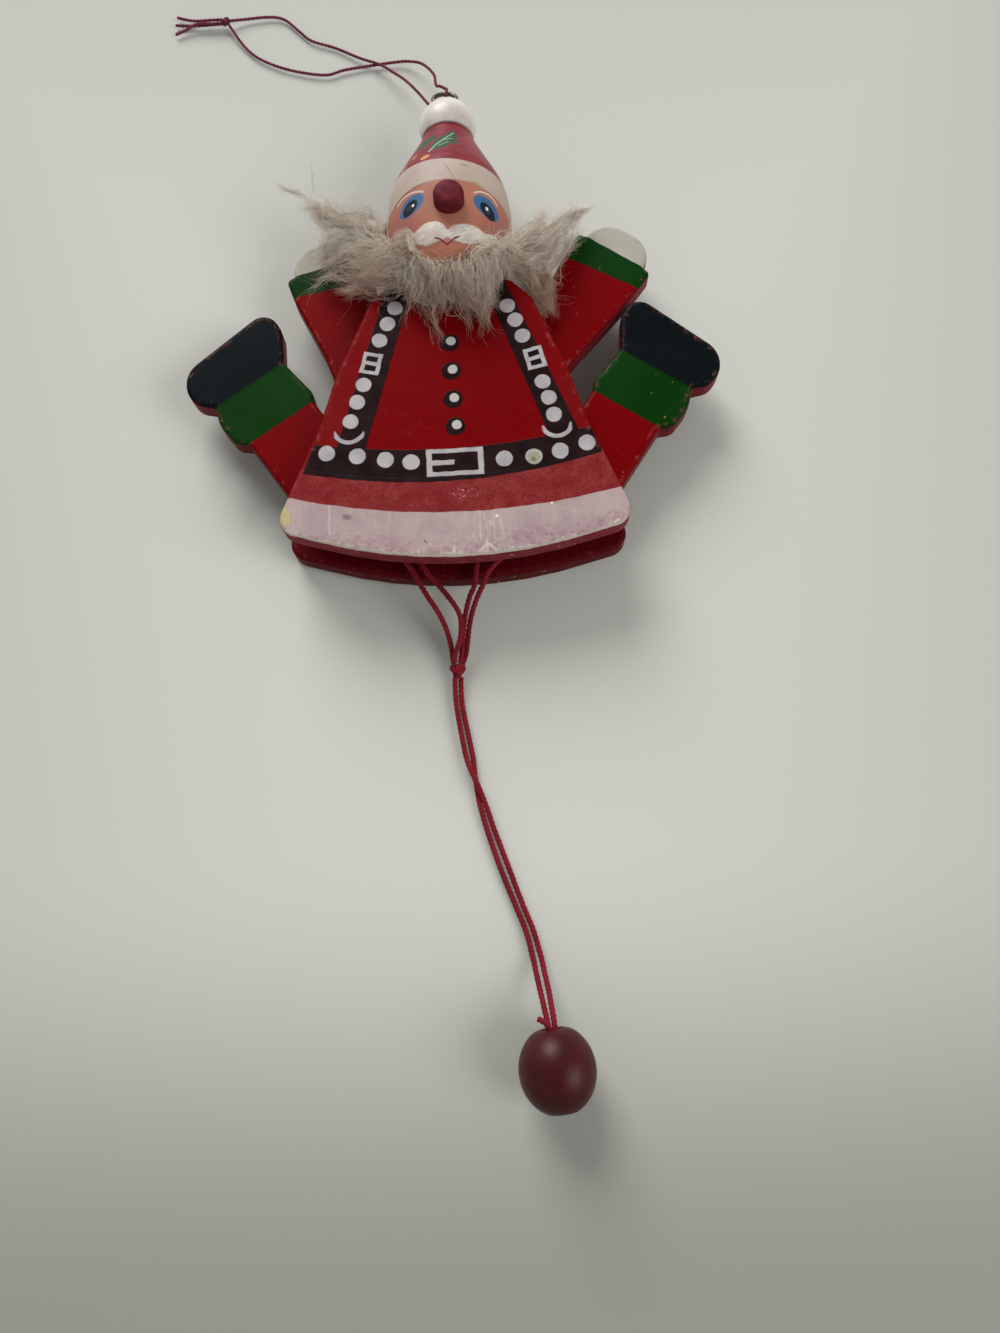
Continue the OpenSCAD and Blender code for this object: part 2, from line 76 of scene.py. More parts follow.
HEM_ARC_R = 107
BOARD_SIDE = ((41.6, 7.6, 4.5), (31.2, 33, 40), (27.6, 45.5, 40), (19.4, 65.2, 3.5), (14.4, 70, 2))
LEG_OUTLINE = ((-9.3, -9.3, 9.2), (25, -9.3, 0.8), (27.4, -10.5, 3), (38.2, -9.3, 0.8),
               (45.5, -13.8, 6), (52.9, -14.2, 4.2), (50.3, 14.4, 6.8), (41.4, 13.9, 4),
               (38.1, 10.7, 0.7), (33.5, 12.4, 8), (27.2, 11.9, 3), (25, 9.3, 0.8),
               (-9.3, 9.3, 9.2))
ARM_REACH = 41.2
ARM_DRILL_ERROR = 5.5
ARM_SHIFT = 1.5
SHOULDER = (21, 52)
HIP = (27, 17)
PULL_TRAVEL = 11.2
HEAD_PROFILE = ((0.62, 70.2), (0.81, 71.4), (0.94, 74.6), (0.99, 79.5), (1, 85), (0.992, 89),
                (0.955, 93), (0.886, 96.5), (0.778, 100), (0.64, 104), (0.505, 108),
                (0.385, 112.2))
HEAD_R = 15.3
HAT_PEG_R = 1.65
HAT_PEG_TOP = 116.7
BALL_Y = 115.2
BALL_R = 7.1
NOSE_AT = (0.8, 82.8)
NOSE_R = 3.6
NOSE_SEAT_Z = 25.1
NOSE_TIP_Z = 34.4
NOSE_DOME = 1.6
EYE_CENTRE = (-0.7, 125.5, 14)
EYE_WIRE_R = 0.55
EYE_RING_R = 2.95
EYE_OPENING = 30
EYE_LEAN = -25
SHANK_L = 9
SHANK_R = 0.65
BEAD_AT = (18.7, -110.6, 8.3)
BEAD_L = 16.7
BEAD_R = 8.2
BEAD_END_ANGLE = 66
BEAD_LEAN = 6
BEAD_HOLE_R = 2.2
BEAD_HOLE_DEPTH = 7

# Drilled holes, as diameters, with their depth in the boards and the keyholes' saw cut

NAIL_HOLE = 2.04
LIMB_NAIL_HOLE = 2.16
NAIL_HEAD_HOLE = 5
NAIL_RECESS = 1
NAIL_BITE = 4.2
KEYHOLE = 3
KEYHOLE_SLOT_W = 1.6
KEYHOLE_SLOT_L = 12

# Cord routes, as in the part's source: x, height from the hem and z. The pull cords' rows end in
# half the distance between the two strands and the angle of their pair.

LIMB_STRINGS = {
    "left_arm": ((-17.4, 46.4, 9.2), (-14.8, 42.3, 9.2), (-12.4, 32, 9.2), (-10.6, 18, 9.2),
                 (-9.2, 4.6, 9.2), (-7.5, -0.2, 9.2), (-4.5, -3.8, 9.4), (-2.4, -6.6, 9.6),
                 (-0.4, -9.6, 9.4), (0.4, -12.3, 8.4), (0, -16, 6.2), (-1.3, -19, 4.1),
                 (-1.6, -20.8, 3.1)),
    "right_arm": ((16.1, 46.4, 9.2), (12.9, 42.8, 9.2), (10.5, 33, 9.2), (7.5, 18, 9.2),
                  (4.8, 3, 9.2), (3.8, -3.8, 9.2), (2.6, -6.6, 9), (1.5, -10.4, 7.9),
                  (0.7, -14.5, 5.4), (0.2, -18.6, 3.3), (-0.2, -20.8, 2.8)),
    "left_leg": ((-24.6, 11.4, 9.2), (-23, 7.7, 9.2), (-20.5, 6.2, 9.2), (-16.5, 5, 9.2),
                 (-13, 3.2, 9.2), (-10.8, 0.3, 9.2), (-8.9, -3.2, 9.2), (-6.8, -6.9, 9),
                 (-4.7, -10.2, 8.4), (-3.1, -13.7, 6), (-2.3, -17, 3.6), (-2.1, -19, 2.1),
                 (-1.9, -20.8, 1.5)),
    "right_leg": ((24.6, 11.4, 9.2), (23.1, 7.8, 9.2), (20.5, 6.2, 9.2), (15.5, 4.8, 9.2),
                  (10.5, 2.6, 9.2), (7.2, -0.6, 9.2), (5.8, -3.8, 9), (4.5, -6.4, 8.8),
                  (3.2, -9.4, 7.6), (2.2, -12.8, 5.6), (1.6, -16.1, 3.6), (1.1, -18.6, 2.1),
                  (0.2, -21, 1.6)),
}
PULL_ROUTE = ((-0.9, -24, 1.8, 0.7, 10), (-0.8, -30, 1.2, 0.7, 20), (0.3, -37, 1.2, 0.8, 20),
              (1.4, -43, 1.1, 0.8, 20), (2.2, -46.5, 1.4, 0.7, 65), (3.2, -50.5, 1.4, 0.7, 115),
              (4.3, -54.5, 1.1, 0.7, 160), (5.9, -60, 0.9, 0.8, 170), (8.6, -68, 0.9, 0.9, 175),
              (11.5, -76, 0.9, 0.8, 170), (13.8, -82, 1, 0.8, 175), (15.2, -87.5, 1.2, 0.9, 175),
              (15.9, -91, 2.5, 0.9, 180), (16.6, -94.6, 4.8, 0.9, 180),
              (17.2, -98, 7.1, 0.8, 180), (17.7, -101.2, 8.1, 0.7, 180),
              (18.1, -105, 8.3, 0.7, 180))
STUB_ROUTE = ((17.6, -103.6, 9.55), (17.3, -102.2, 9.6), (16.3, -100.9, 9.9), (15, -100.2, 9.4))
THREADS = {
    "hanging_thread_a": ((-0.8, 125.4, 13.6), (-1.3, 125.2, 12.4), (-2.6, 125.4, 11.4),
                         (-4.3, 126.7, 10.5), (-5.4, 128.4, 9.5), (-8.5, 135.1, 6.5),
                         (-11.9, 141.1, 4), (-15.6, 145.5, 2.4), (-19, 148.6, 1.7),
                         (-24.6, 151.7, 0.9), (-31.6, 155.8, 0.5), (-38, 158.4, 0.5),
                         (-41.4, 161.6, 0.5), (-45.6, 165.8, 0.5), (-49.9, 167, 0.5),
                         (-56.9, 166.4, 0.7), (-60.9, 165.5, 1.3)),
    "hanging_thread_b": ((-0.8, 125.4, 13.6), (-0.3, 125.6, 14.8), (-0.1, 127.4, 14.9),
                         (-0.4, 129.2, 13.3), (-2, 131.8, 11.5), (-3, 132.9, 10.5),
                         (-3.4, 136, 8.6), (-3.8, 139.5, 7), (-5.6, 144.2, 4.5),
                         (-7.9, 147.7, 2.6), (-10.2, 149.2, 1.6), (-13.5, 150.1, 0.8),
                         (-20.5, 149.6, 0.5), (-28.8, 148.4, 0.5), (-34.3, 147, 0.5),
                         (-43.9, 149.1, 0.5), (-51.8, 152.8, 0.5), (-56.6, 157.3, 0.6),
                         (-61.2, 164.4, 1.3)),
}
TAIL_ROUTES = (((-62.9, 165.7, 1.6), (-66, 165.8, 1.5), (-70, 165.9, 1.3), (-73, 166.9, 0.8),
                (-75.8, 168, 0.6)),
               ((-62.9, 165.2, 0.7), (-67, 165.2, 0.5), (-71, 165.1, 0.5), (-76.2, 165.5, 0.5)),
               ((-62.9, 164.6, 1.6), (-66, 164.6, 1.5), (-70, 164.8, 1.4), (-73, 163.6, 0.8),
                (-76.1, 162.3, 0.6)))
GATHER_AT = (-0.9, -22.4, 2.15)
THREAD_KNOT_AT = (-62, 165.2, 1.4)

# Plies and pitch of the twists, and the knots' diameters with the thickness of their strand

CORD_TWIST = (3, 3.4)
THREAD_TWIST = (2, 2.2)
GATHER_KNOT = (4.2, 1.5)
SMALL_KNOT = (2.7, 0.9)

# Hair. Hairs that stand above HAIR_TOP are left out, and so are those over the bare corner: right
# of its x, below its y and above its z.

HAIR_TOP = 34.2
HAIR_SEED = 4
HAIR_PARTS = 10
FRIZZY_SHARE = 0.35
FACE_HALF_ANGLE = 74
BARE_CORNER = (12.8, 69.6, 18)
STRAY_HAIR = ((-0.5, 93.9, 29.9), (0.6, 91.8, 30.4), (1.8, 89.5, 30.6), (2.9, 87, 31.6),
              (3.9, 85, 32.6), (4.4, 82.8, 32.4))
PUFF_SHARE = 0.55
SHADED_SHARE = 0.16
SHADED_SHARE_RIGHT_FAN = 0.3

# The soft core has puffs of x, height from the hem, z and radius, of which a share is drawn. A lock
# has its share of the hairs, then the same four values along it, from root to tip.

DOWN = (((-2, 70, 24, 4), (0, 65.6, 22.6, 3.6), (0.5, 62.8, 21.4, 2)),
        ((-10, 72, 22, 4), (-8.5, 68, 21.8, 3.6), (-7, 65.6, 20.8, 2)),
        ((-15.5, 77, 20, 4.4), (-18.5, 74.5, 20, 3.4), (-20.5, 73, 19.8, 2)),
        ((9.5, 72, 22, 4), (8.5, 67.5, 21.6, 3.6), (8, 63.4, 20.5, 2.2)),
        ((-16, 84.5, 17.5, 4.6), (-19.5, 86, 17.5, 3.8), (-23, 87.5, 17, 2.2)),
        ((-17, 79.5, 18, 4.4), (-21, 79, 18.5, 3.6), (-24, 79.5, 17.5, 2)),
        ((14.5, 77, 20, 3.8), (17, 74.5, 20.3, 3), (18.5, 72.5, 19.8, 1.8)),
        ((15.5, 79, 18.5, 3.6), (19.5, 78, 18.8, 2.6), (22, 78.5, 18, 1.6)),
        ((15.5, 74, 19, 4), (18.4, 72, 17, 4), (20.6, 69.4, 15.8, 3)),
        ((-13, 71, 21, 4), (-17, 71, 20.5, 3.6), (-20, 71.5, 20, 2.6)))
LOCKS = {
    "left_fan": (
        (0.55, ((-15.6, 83.8, 18, 2.6), (-18.1, 87.2, 18, 3), (-22.8, 89.2, 17.5, 2.6),
                (-28, 90.6, 17, 1.8), (-32, 92.6, 16.5, 0.9))),
        (0.8, ((-15.5, 81.4, 18.5, 3), (-19.4, 84.1, 18.5, 3.2), (-24.1, 86.3, 18, 3.2),
               (-28.7, 88.5, 17, 2.6), (-32.5, 91.2, 16.5, 1.4))),
        (0.75, ((-15.7, 78.4, 19, 3), (-19.8, 80.2, 19, 3.4), (-24.5, 81.9, 18, 3.2),
                (-28.6, 82.8, 17, 2.4), (-30.7, 80.5, 17, 1.3))),
        (0.13, ((-29.9, 90.8, 16.5, 1.5), (-33.6, 94.3, 16, 1.1), (-36.2, 96.9, 15.8, 0.9),
                (-38.6, 98.6, 15.5, 0.7), (-41, 100.1, 15, 0.5))),
        (0.008, ((-33.6, 93.5, 16, 0.3), (-33.8, 98.5, 15.8, 0.2), (-34.4, 103, 15.5, 0.15)))),
    "left_jaw": (
        (0.95, ((-9, 72, 25, 2.6), (-13, 72, 23, 3.2), (-17, 73, 21, 3), (-20, 74, 20, 2))),
        (0.75, ((-9, 70, 24, 2.4), (-13.5, 69.8, 21.5, 2.6), (-17.5, 70.2, 20, 2.2),
                (-20.5, 70.6, 19.5, 1.6))),
        (0.48, ((-12, 75.8, 24, 2.4), (-16.2, 75.8, 22, 3.4), (-21, 76.9, 20, 3.4),
                (-25, 77.2, 18.5, 2.4), (-28, 76.5, 17.5, 1.4))),
        (0.11, ((-10.1, 72, 25, 2.4), (-14.4, 71.9, 22.5, 3.2), (-19.6, 72.5, 20.5, 3.4),
                (-24.8, 72.7, 19, 2.6), (-28, 72.2, 18, 1.4))),
        (0.035, ((-24, 74, 18, 3), (-27.5, 73.5, 17.5, 2.2), (-30.8, 72, 17, 1.6),
                (-33, 70.6, 17, 0.8))),
        (0.26, ((-8.4, 68.8, 24.6, 2.4), (-12, 68, 21.8, 2.8), (-16, 68, 20.2, 2.4),
                (-20.5, 68.4, 19.5, 1.6), (-24.5, 68.4, 19, 0.8))),
        (0.22, ((-13.8, 73.4, 24, 2.4), (-11.7, 74.2, 26.5, 2.2), (-9.9, 75.3, 28.5, 1.7),
                (-8.5, 76.2, 29.6, 0.8)))),
    "chin_left": (
        (0.7, ((-7, 70, 26.5, 2.6), (-6.5, 67.7, 25, 2.8), (-6, 66.4, 23.4, 2.2))),
        (0.7, ((-2.5, 69, 28, 2.4), (-2.5, 66.5, 26, 2.8), (-2.5, 65.2, 24.2, 2.2))),
        (0.11, ((-6.4, 69.4, 27, 2), (-6.2, 67.3, 25, 3), (-5.8, 65, 22.5, 2.4),
                (-5.6, 62.3, 20.5, 1.7), (-4.7, 59.6, 19.8, 1.4), (-3.7, 57.4, 19.2, 0.9))),
        (0.06, ((-2.8, 68.6, 28, 2), (-3, 66, 26, 3.2), (-2.9, 64.1, 23, 2.4),
                (-2.2, 62.3, 20.8, 1.1))),
        (0.06, ((-8.7, 70.2, 26, 2), (-8.5, 68.1, 24, 2.8), (-8.3, 65.8, 21.5, 2),
                (-8.6, 63.4, 20.2, 1.2)))),
    "chin_right": (
        (0.7, ((2.5, 69, 28, 2.4), (2.5, 66.2, 26, 2.8), (3, 64.6, 23.8, 2.2))),
        (0.75, ((7, 70, 26.5, 2.4), (7.3, 67.2, 24.8, 2.8), (8, 65.4, 22.7, 2.2))),
        (0.6, ((11, 73.6, 24.5, 2.6), (11.8, 72, 22.5, 2.6), (12.2, 70.8, 21.3, 1.8))),
        (0.07, ((0.6, 68.4, 28, 2), (0.4, 65.4, 26, 3.2), (1.1, 63.4, 23, 2.6),
                (2.2, 61.2, 21, 1.6), (3.5, 58.8, 20, 0.8))),
        (0.13, ((4.1, 68.6, 27.5, 2), (4.3, 65.6, 25.5, 3.2), (5, 63.1, 22.5, 3),
                (6.2, 60.1, 20.8, 2), (7.2, 57.8, 20, 0.9))),
        (0.1, ((7.5, 70.2, 26.5, 2.2), (7.8, 67.1, 24.5, 3.2), (8.6, 64.7, 22, 2.8),
                (9.3, 61.7, 20.5, 1.9), (9.2, 59.2, 20, 1))),
        (0.08, ((10.2, 73.1, 25, 2), (10.3, 70.4, 23, 2.4), (10.2, 67.9, 21.5, 1.8),
                (9.8, 65.3, 20.2, 1))),
        (0.2, ((4.5, 69.8, 28, 2), (7, 71.4, 28, 2), (9.5, 72.8, 27, 1.8), (11.5, 74, 26, 1)))),
    "right_jaw": (
        (0.8, ((13.2, 74, 22, 2.6), (15.6, 72.4, 20, 2.8), (18, 71, 18, 2.6),
               (19.8, 69, 16.6, 2), (20.8, 67, 16, 1))),
        (0.3, ((17.6, 71.8, 18, 2.8), (21.6, 71.2, 16.6, 2.8), (24.8, 74, 16, 2.2),
               (27.4, 78, 16, 1.4), (29.8, 81.4, 16, 0.8))),
        (0.35, ((19, 73, 16, 2.4), (22, 71.5, 15.5, 2.2), (23, 69, 15.5, 1.4))),
        (0.5, ((17.5, 71, 17, 2.2), (19.6, 68.6, 16, 1.9), (21, 66.2, 15.4, 1.2))),
        (0.14, ((18, 70.3, 17.5, 2), (20.2, 67.6, 16.8, 1.4), (22, 66.8, 16.4, 0.9),
                (23.7, 69.4, 16.2, 0.6), (23.3, 72, 16.2, 0.4))),
        (0.06, ((9.3, 70.7, 27, 2), (10.5, 72.6, 27.2, 2), (12.4, 74.8, 26, 1.8),
                (14, 77, 24.5, 1)))),
    "right_fan": (
        (0.4, ((15.6, 77.8, 21.5, 2.4), (17.9, 79.5, 20.5, 2.8), (20.7, 82.7, 19.5, 2.2),
               (22.2, 86, 18.5, 1))),
        (0.62, ((16, 75.3, 21.5, 3), (19.6, 76.8, 20.5, 3.2), (22.9, 80.5, 19.5, 2.6),
                (26.3, 84.2, 18.5, 1.7), (29.5, 87.2, 17.5, 0.9), (31.4, 88.2, 17, 0.5))),
        (0.38, ((16.3, 73.4, 20.5, 3), (20, 74, 19.5, 3), (23.3, 77.1, 18.5, 2.4),
               (26.6, 81, 18, 1.6), (29.7, 84.9, 17.5, 1), (31.5, 87.2, 17, 0.5)))),
}

# Camera, solved from the outlines in the photograph

CAMERA_LENS = 28.357
CAMERA_AT = (0.0127, -0.1143, 0.24203)
CAMERA_TURNS = (("Z", -1.937), ("X", 13.428), ("Y", 1.301))


def srgb(red, green, blue):
    """A colour written as 0 to 255, as linear light."""
    return tuple(v / 12.92 if v <= 0.04045 else ((v + 0.055) / 1.055) ** 2.4
                 for v in (red / 255, green / 255, blue / 255))


def times(colour, share):
    """A colour made darker or lighter."""
    return tuple(min(1, c * share) for c in colour)


# Node building

class Signal:
    """A node's output that takes part in Python expressions by adding Math nodes."""

    def __init__(self, finish, node, output=0):
        self.finish = finish
        self.node = node
        self.output = output

    @property
    def socket(self):
        return self.node.outputs[self.output]

    def beside(self, output):
        return Signal(self.finish, self.node, output)

    def math(self, operation, first, second=0.0):
        return self.finish.add("Math", {"operation": operation}, {0: first, 1: second})

    def __add__(self, other):
        return self.math("ADD", self, other)

    def __radd__(self, other):
        return self.math("ADD", other, self)

    def __sub__(self, other):
        return self.math("SUBTRACT", self, other)

    def __rsub__(self, other):
        return self.math("SUBTRACT", other, self)

    def __mul__(self, other):
        return self.math("MULTIPLY", self, other)

    def __rmul__(self, other):
        return self.math("MULTIPLY", other, self)

    def __truediv__(self, other):
        return self.math("DIVIDE", self, other)

    def __abs__(self):
        return self.math("ABSOLUTE", self)

    def least(self, other):
        return self.math("MINIMUM", self, other)

    def most(self, other):
        return self.math("MAXIMUM", self, other)


class Finish:
    """Builds the node tree of one painted or natural surface."""

    def __init__(self, name):
        self.material = bpy.data.materials.new(name)
        self.material.use_nodes = True
        self.tree = self.material.node_tree
        self.tree.nodes.clear()

    def add(self, kind, settings=None, sockets=None, output=0):
        """Adds a node: its settings first, then the values or links of its sockets."""
        node = self.tree.nodes.new("ShaderNode" + kind)
        for name, value in (settings or {}).items():
            setattr(node, name, value)
        for name, value in (sockets or {}).items():
            if isinstance(value, Signal):
                self.tree.links.new(value.socket, node.inputs[name])
            else:
                node.inputs[name].default_value = value
        return Signal(self, node, output)

    def vector(self, operation, first, second=(0, 0, 0), third=(0, 0, 0), output=0):
        return self.add("VectorMath", {"operation": operation},
                        {0: first, 1: second, 2: third}, output)

    def position(self):
        """The point in millimetres, with y from the hem."""
        place = self.add("TexCoord", output=3)
        return self.vector("MULTIPLY_ADD", place, (1000, 1000, 1000), (0, ORIGIN_RISE, 0))

    def stored(self, name, output=1):
        """A value kept on the mesh: a vector, or a number where output is 2."""
        return self.add("Attribute", {"attribute_name": name}, output=output)

    def axes(self, vector):
        x = self.add("SeparateXYZ", sockets={0: vector})
        return x, x.beside(1), x.beside(2)

    def joined(self, x, y, z=0.0):
        return self.add("CombineXYZ", sockets={0: x, 1: y, 2: z})

    def noise(self, vector, scale, detail=2.0, roughness=0.5, output=0):
        return self.add("TexNoise", sockets={"Vector": vector, "Scale": scale, "Detail": detail,
                                             "Roughness": roughness, "Distortion": 0.0},
                        output=output)

    def stretched(self, vector, scales, turn=0.0):
        """The point turned by some degrees about z, then scaled along each axis."""
        turned = self.add("Mapping", sockets={"Vector": vector,
                                              "Rotation": (0, 0, math.radians(turn))})
        return self.vector("MULTIPLY", turned, scales)

    def by_hand(self, point, amount, scale=0.35):
        """The point shifted a little, so that an edge looks painted by hand."""
        drift = self.vector("SUBTRACT", self.noise(point, scale, 3, output=1), (0.5, 0.5, 0.5))
        return self.vector("MULTIPLY_ADD", drift, (amount, amount, 0), point)

    def above(self, value, edge, soft=0.1):
        """1 where value is above edge, fading over soft on both sides."""
        if isinstance(edge, Signal):
            value, edge = value - edge, 0
        return self.add("MapRange", {"interpolation_type": "SMOOTHSTEP"},
                        {0: value, 1: edge - soft, 2: edge + soft})

    def below(self, value, edge, soft=0.1):
        return self.above(value, edge, -soft)

    def dots(self, point, centres, radius, soft=0.1):
        nearest = None
        for centre in centres:
            away = self.vector("DISTANCE", point, (*centre, 0), output=1)
            nearest = away if nearest is None else nearest.least(away)
        return self.below(nearest, radius, soft)

    def seen_from(self, point, centre, turn, scale=(1, 1)):
        """The point as measured from a shape's centre, along its own axes and in its own size."""
        return self.add("Mapping", {"vector_type": "TEXTURE"},
                        {"Vector": point, "Location": (*centre, 0), "Rotation": (0, 0, turn),
                         "Scale": (*scale, 1)})

    def ellipse(self, point, centre, radii, tilt=0.0, soft=0.08):
        """1 inside an ellipse with half sizes radii, turned by tilt degrees."""
        local = self.seen_from(point, centre, math.radians(tilt), radii)
        return self.below(self.vector("LENGTH", local, output=1), 1, soft)

    def box(self, point, centre, half, tilt=0.0, soft=0.1):
        """1 inside a rectangle with half sizes half, turned by tilt degrees."""
        local = self.seen_from(point, centre, math.radians(tilt))
        x, y, _ = self.axes(self.vector("ABSOLUTE", local))
        return self.below((x - half[0]).most(y - half[1]), 0, soft)

    def stroke(self, point, start, end, half, soft=0.08):
        """1 along a short brush stroke."""
        run, rise = end[0] - start[0], end[1] - start[1]
        middle = ((start[0] + end[0]) / 2, (start[1] + end[1]) / 2)
        return self.box(point, middle, (math.hypot(run, rise) / 2, half),
                        math.degrees(math.atan2(rise, run)), soft)

    def arc(self, point, ends, low, half, soft=0.08):
        """1 along a hand-painted arc through both ends and the point between them."""
        a, b, c = Vector(ends[0]), Vector(low), Vector(ends[1])
        area = (b - a).cross(c - a)
        ab, ac = (b - a).length_squared, (c - a).length_squared
        centre = a + Vector(((c - a).y * ab - (b - a).y * ac,
                             (b - a).x * ac - (c - a).x * ab)) / (2 * area)
        ring = abs(self.vector("DISTANCE", point, (*centre, 0), output=1) - (centre - a).length)
        side = (a + c) / 2 - b
        reach = (c - a).length / 2
        local = self.seen_from(point, (a + c) / 2, math.atan2((c - a).y, (c - a).x))
        x, y, _ = self.axes(local)
        inward = 1 if side.y > 0 else -1
        within = self.below(abs(x), reach, 0.3) * self.below(y * inward, 0.5, 0.3)
        return self.below(ring, half, soft) * within

    def over(self, under, top, mask):
        """The colour top laid over under where mask is 1."""
        under, top = (c if isinstance(c, Signal) else (*c, 1) for c in (under, top))
        return self.add("Mix", {"data_type": "RGBA"}, {0: mask, 6: under, 7: top}, 2)

    def blend(self, first, second, mask):
        """A number that goes from first to second with the mask."""
        return self.add("Mix", {"data_type": "FLOAT"}, {0: mask, 2: first, 3: second})

    def surface(self, colour, roughness, height=None, **fixed):
        """Ends the tree in a Principled shader. The height is in millimetres."""
        sockets = {"Base Color": colour, "Roughness": roughness}
        if height is not None:
            sockets["Normal"] = self.add("Bump", sockets={"Strength": 1.0, "Distance": MM,
                                                          "Height": height})
        for name, value in fixed.items():
            sockets[name.replace("_", " ").title().replace("Ior", "IOR")] = value
        shader = self.add("BsdfPrincipled", sockets=sockets)
        self.add("OutputMaterial", sockets={"Surface": shader})
        return self.material


# Paint and other finishes

def worn(fin, point, inset, colour, near, amount=1.0):
    """Chips the paint along sanded edges and scuffs it, and returns colour and chip mask."""
    chance = fin.noise(point, 0.9, 4, 0.6) + fin.noise(point, 0.16, 2) * 0.5
    chip = fin.above(chance - inset * 0.35, 1.07 - 0.1 * amount, 0.03) * fin.below(inset, 1.6, 0.3)
    rub = fin.above(fin.noise(point, 0.5, 5, 0.7) - abs(inset - 0.9) * 0.12, 0.56, 0.08)
    rub = rub * fin.below(abs(inset - 0.9), 0.7, 0.5)
    colour = fin.over(colour, near, rub * 0.35)
    return fin.over(colour, srgb(196, 168, 130), chip), chip


def red_coat(fin, point, base):
    """A lacquered coat with a little brush variation."""
    cloud = fin.noise(fin.stretched(point, (0.25, 1.2, 0.4)), 0.5, 4, 0.6)
    return fin.over(base, times(base, 1.25), fin.above(cloud, 0.55, 0.25) * 0.5)


def hem_paint(fin, paint, point, flat):
    """The pale band along the hem: its grain, dirt, bare wood, chips and stains."""
    px, py, _ = fin.axes(point)
    x, y, _ = fin.axes(flat)
    low_edge = y - x * x * 0.0047
    grain = fin.noise(fin.stretched(point, (1.3, 0.14, 1), 2), 0.9, 4, 0.6)
    cloudy = fin.noise(point, 0.13, 4, 0.6)
    hem = fin.over(paint.hem, srgb(188, 174, 168), fin.above(grain, 0.56, 0.14) * 0.4)
    hem = fin.over(hem, srgb(158, 134, 142), fin.above(cloudy, 0.52, 0.16) * 0.55)
    bruised = fin.above(fin.noise(point, 0.9, 4, 0.65), 0.54, 0.08) * fin.below(low_edge, 3.6, 1)
    hem = fin.over(hem, srgb(146, 102, 114), bruised * fin.above(x, -20, 12) * 0.45)
    streaked = fin.by_hand(fin.joined(px, py), 0.7, 0.5)
    for place, top, low, width in ((-28.6, 13.4, 6.1, 0.22), (5.7, 10.2, 3.8, 0.18),
                                   (8.9, 10.2, 2.6, 0.14)):
        hem = fin.over(hem, srgb(206, 198, 190),
                       fin.stroke(streaked, (place, top), (place + 0.1, low), width, 0.2) * 0.42)
    for place, top, low in ((-14.2, 11.2, 1.6), (8.6, 10.4, 4), (7.1, 6.4, 3.6)):
        hem = fin.over(hem, srgb(124, 104, 108),
                       fin.stroke(streaked, (place, top), (place - 0.2, low), 0.1, 0.15) * 0.35)
    bare = fin.below(low_edge - fin.noise(point, 0.8, 4, 0.7) * 2.6, -0.45, 0.12)
    for place, high, wide in ((-34.1, 6.4, 0.35), (-26.9, 4.6, 0.5), (-17, 2.4, 0.6),
                              (-11.6, 1.7, 0.4), (-8.4, 1.9, 0.35), (-0.3, 2.6, 0.45),
                              (7.2, 4, 0.35), (20.7, 2.8, 0.5)):
        foot = place * place * 0.0047 + 0.2
        bare = bare.most(fin.ellipse(fin.by_hand(flat, 0.8, 0.9), (place, foot),
                                     (wide, high - foot), 0, 0.25))
    bare = bare.most(fin.stroke(flat, (7.2, 2.9), (5, 0.5), 0.28, 0.15)).most(
        fin.stroke(flat, (7.4, 2.9), (9.8, 0.7), 0.28, 0.15))
    hem = fin.over(hem, srgb(204, 194, 182), bare * fin.below(low_edge, 4.4, 0.6) * 0.85)
    chipped = fin.ellipse(fin.by_hand(flat, 1.4, 0.7), (-38.9, 11), (1.5, 2.3), 10, 0.12)
    hem = fin.over(hem, srgb(186, 172, 128), chipped)
    for stain, centre, radii, tilt, share in (
            (srgb(156, 118, 84), (22.9, 12.6), (1.6, 0.5), 12, 0.6),
            (srgb(118, 84, 98), (-24.5, 10.3), (1.1, 0.65), 0, 0.7)):
        hem = fin.over(hem, stain, fin.ellipse(flat, centre, radii, tilt, 0.5) * share)
    hem = fin.over(hem, srgb(90, 76, 78), fin.stroke(flat, (-7, 4.1), (-6.4, 3.3), 0.14))
    smear = fin.above(fin.noise(fin.stretched(point, (1, 2.4, 1)), 0.3, 4, 0.7), 0.54, 0.1)
    smeared = fin.ellipse(flat, (17, 4.6), (13, 2.6), 8, 0.9).most(
        fin.ellipse(flat, (-21, 4.4), (10, 2), -8, 0.9))
    hem = fin.over(hem, srgb(146, 104, 120), smear * smeared * 0.5)
    rubbed = fin.above(fin.noise(fin.stretched(point, (1.6, 0.5, 1)), 0.9, 4, 0.7), 0.57, 0.06)
    hem = fin.over(hem, srgb(202, 192, 184),
                   rubbed * fin.ellipse(flat, (8, 6.4), (5, 5), 0, 0.9) * 0.6)
    # Two tiny bright dots near the hem's top, painted glints.
    hem = fin.over(hem, srgb(236, 232, 226), fin.dots(flat, ((9.6, 9.4), (22.1, 12.1)), 0.28))
    return hem


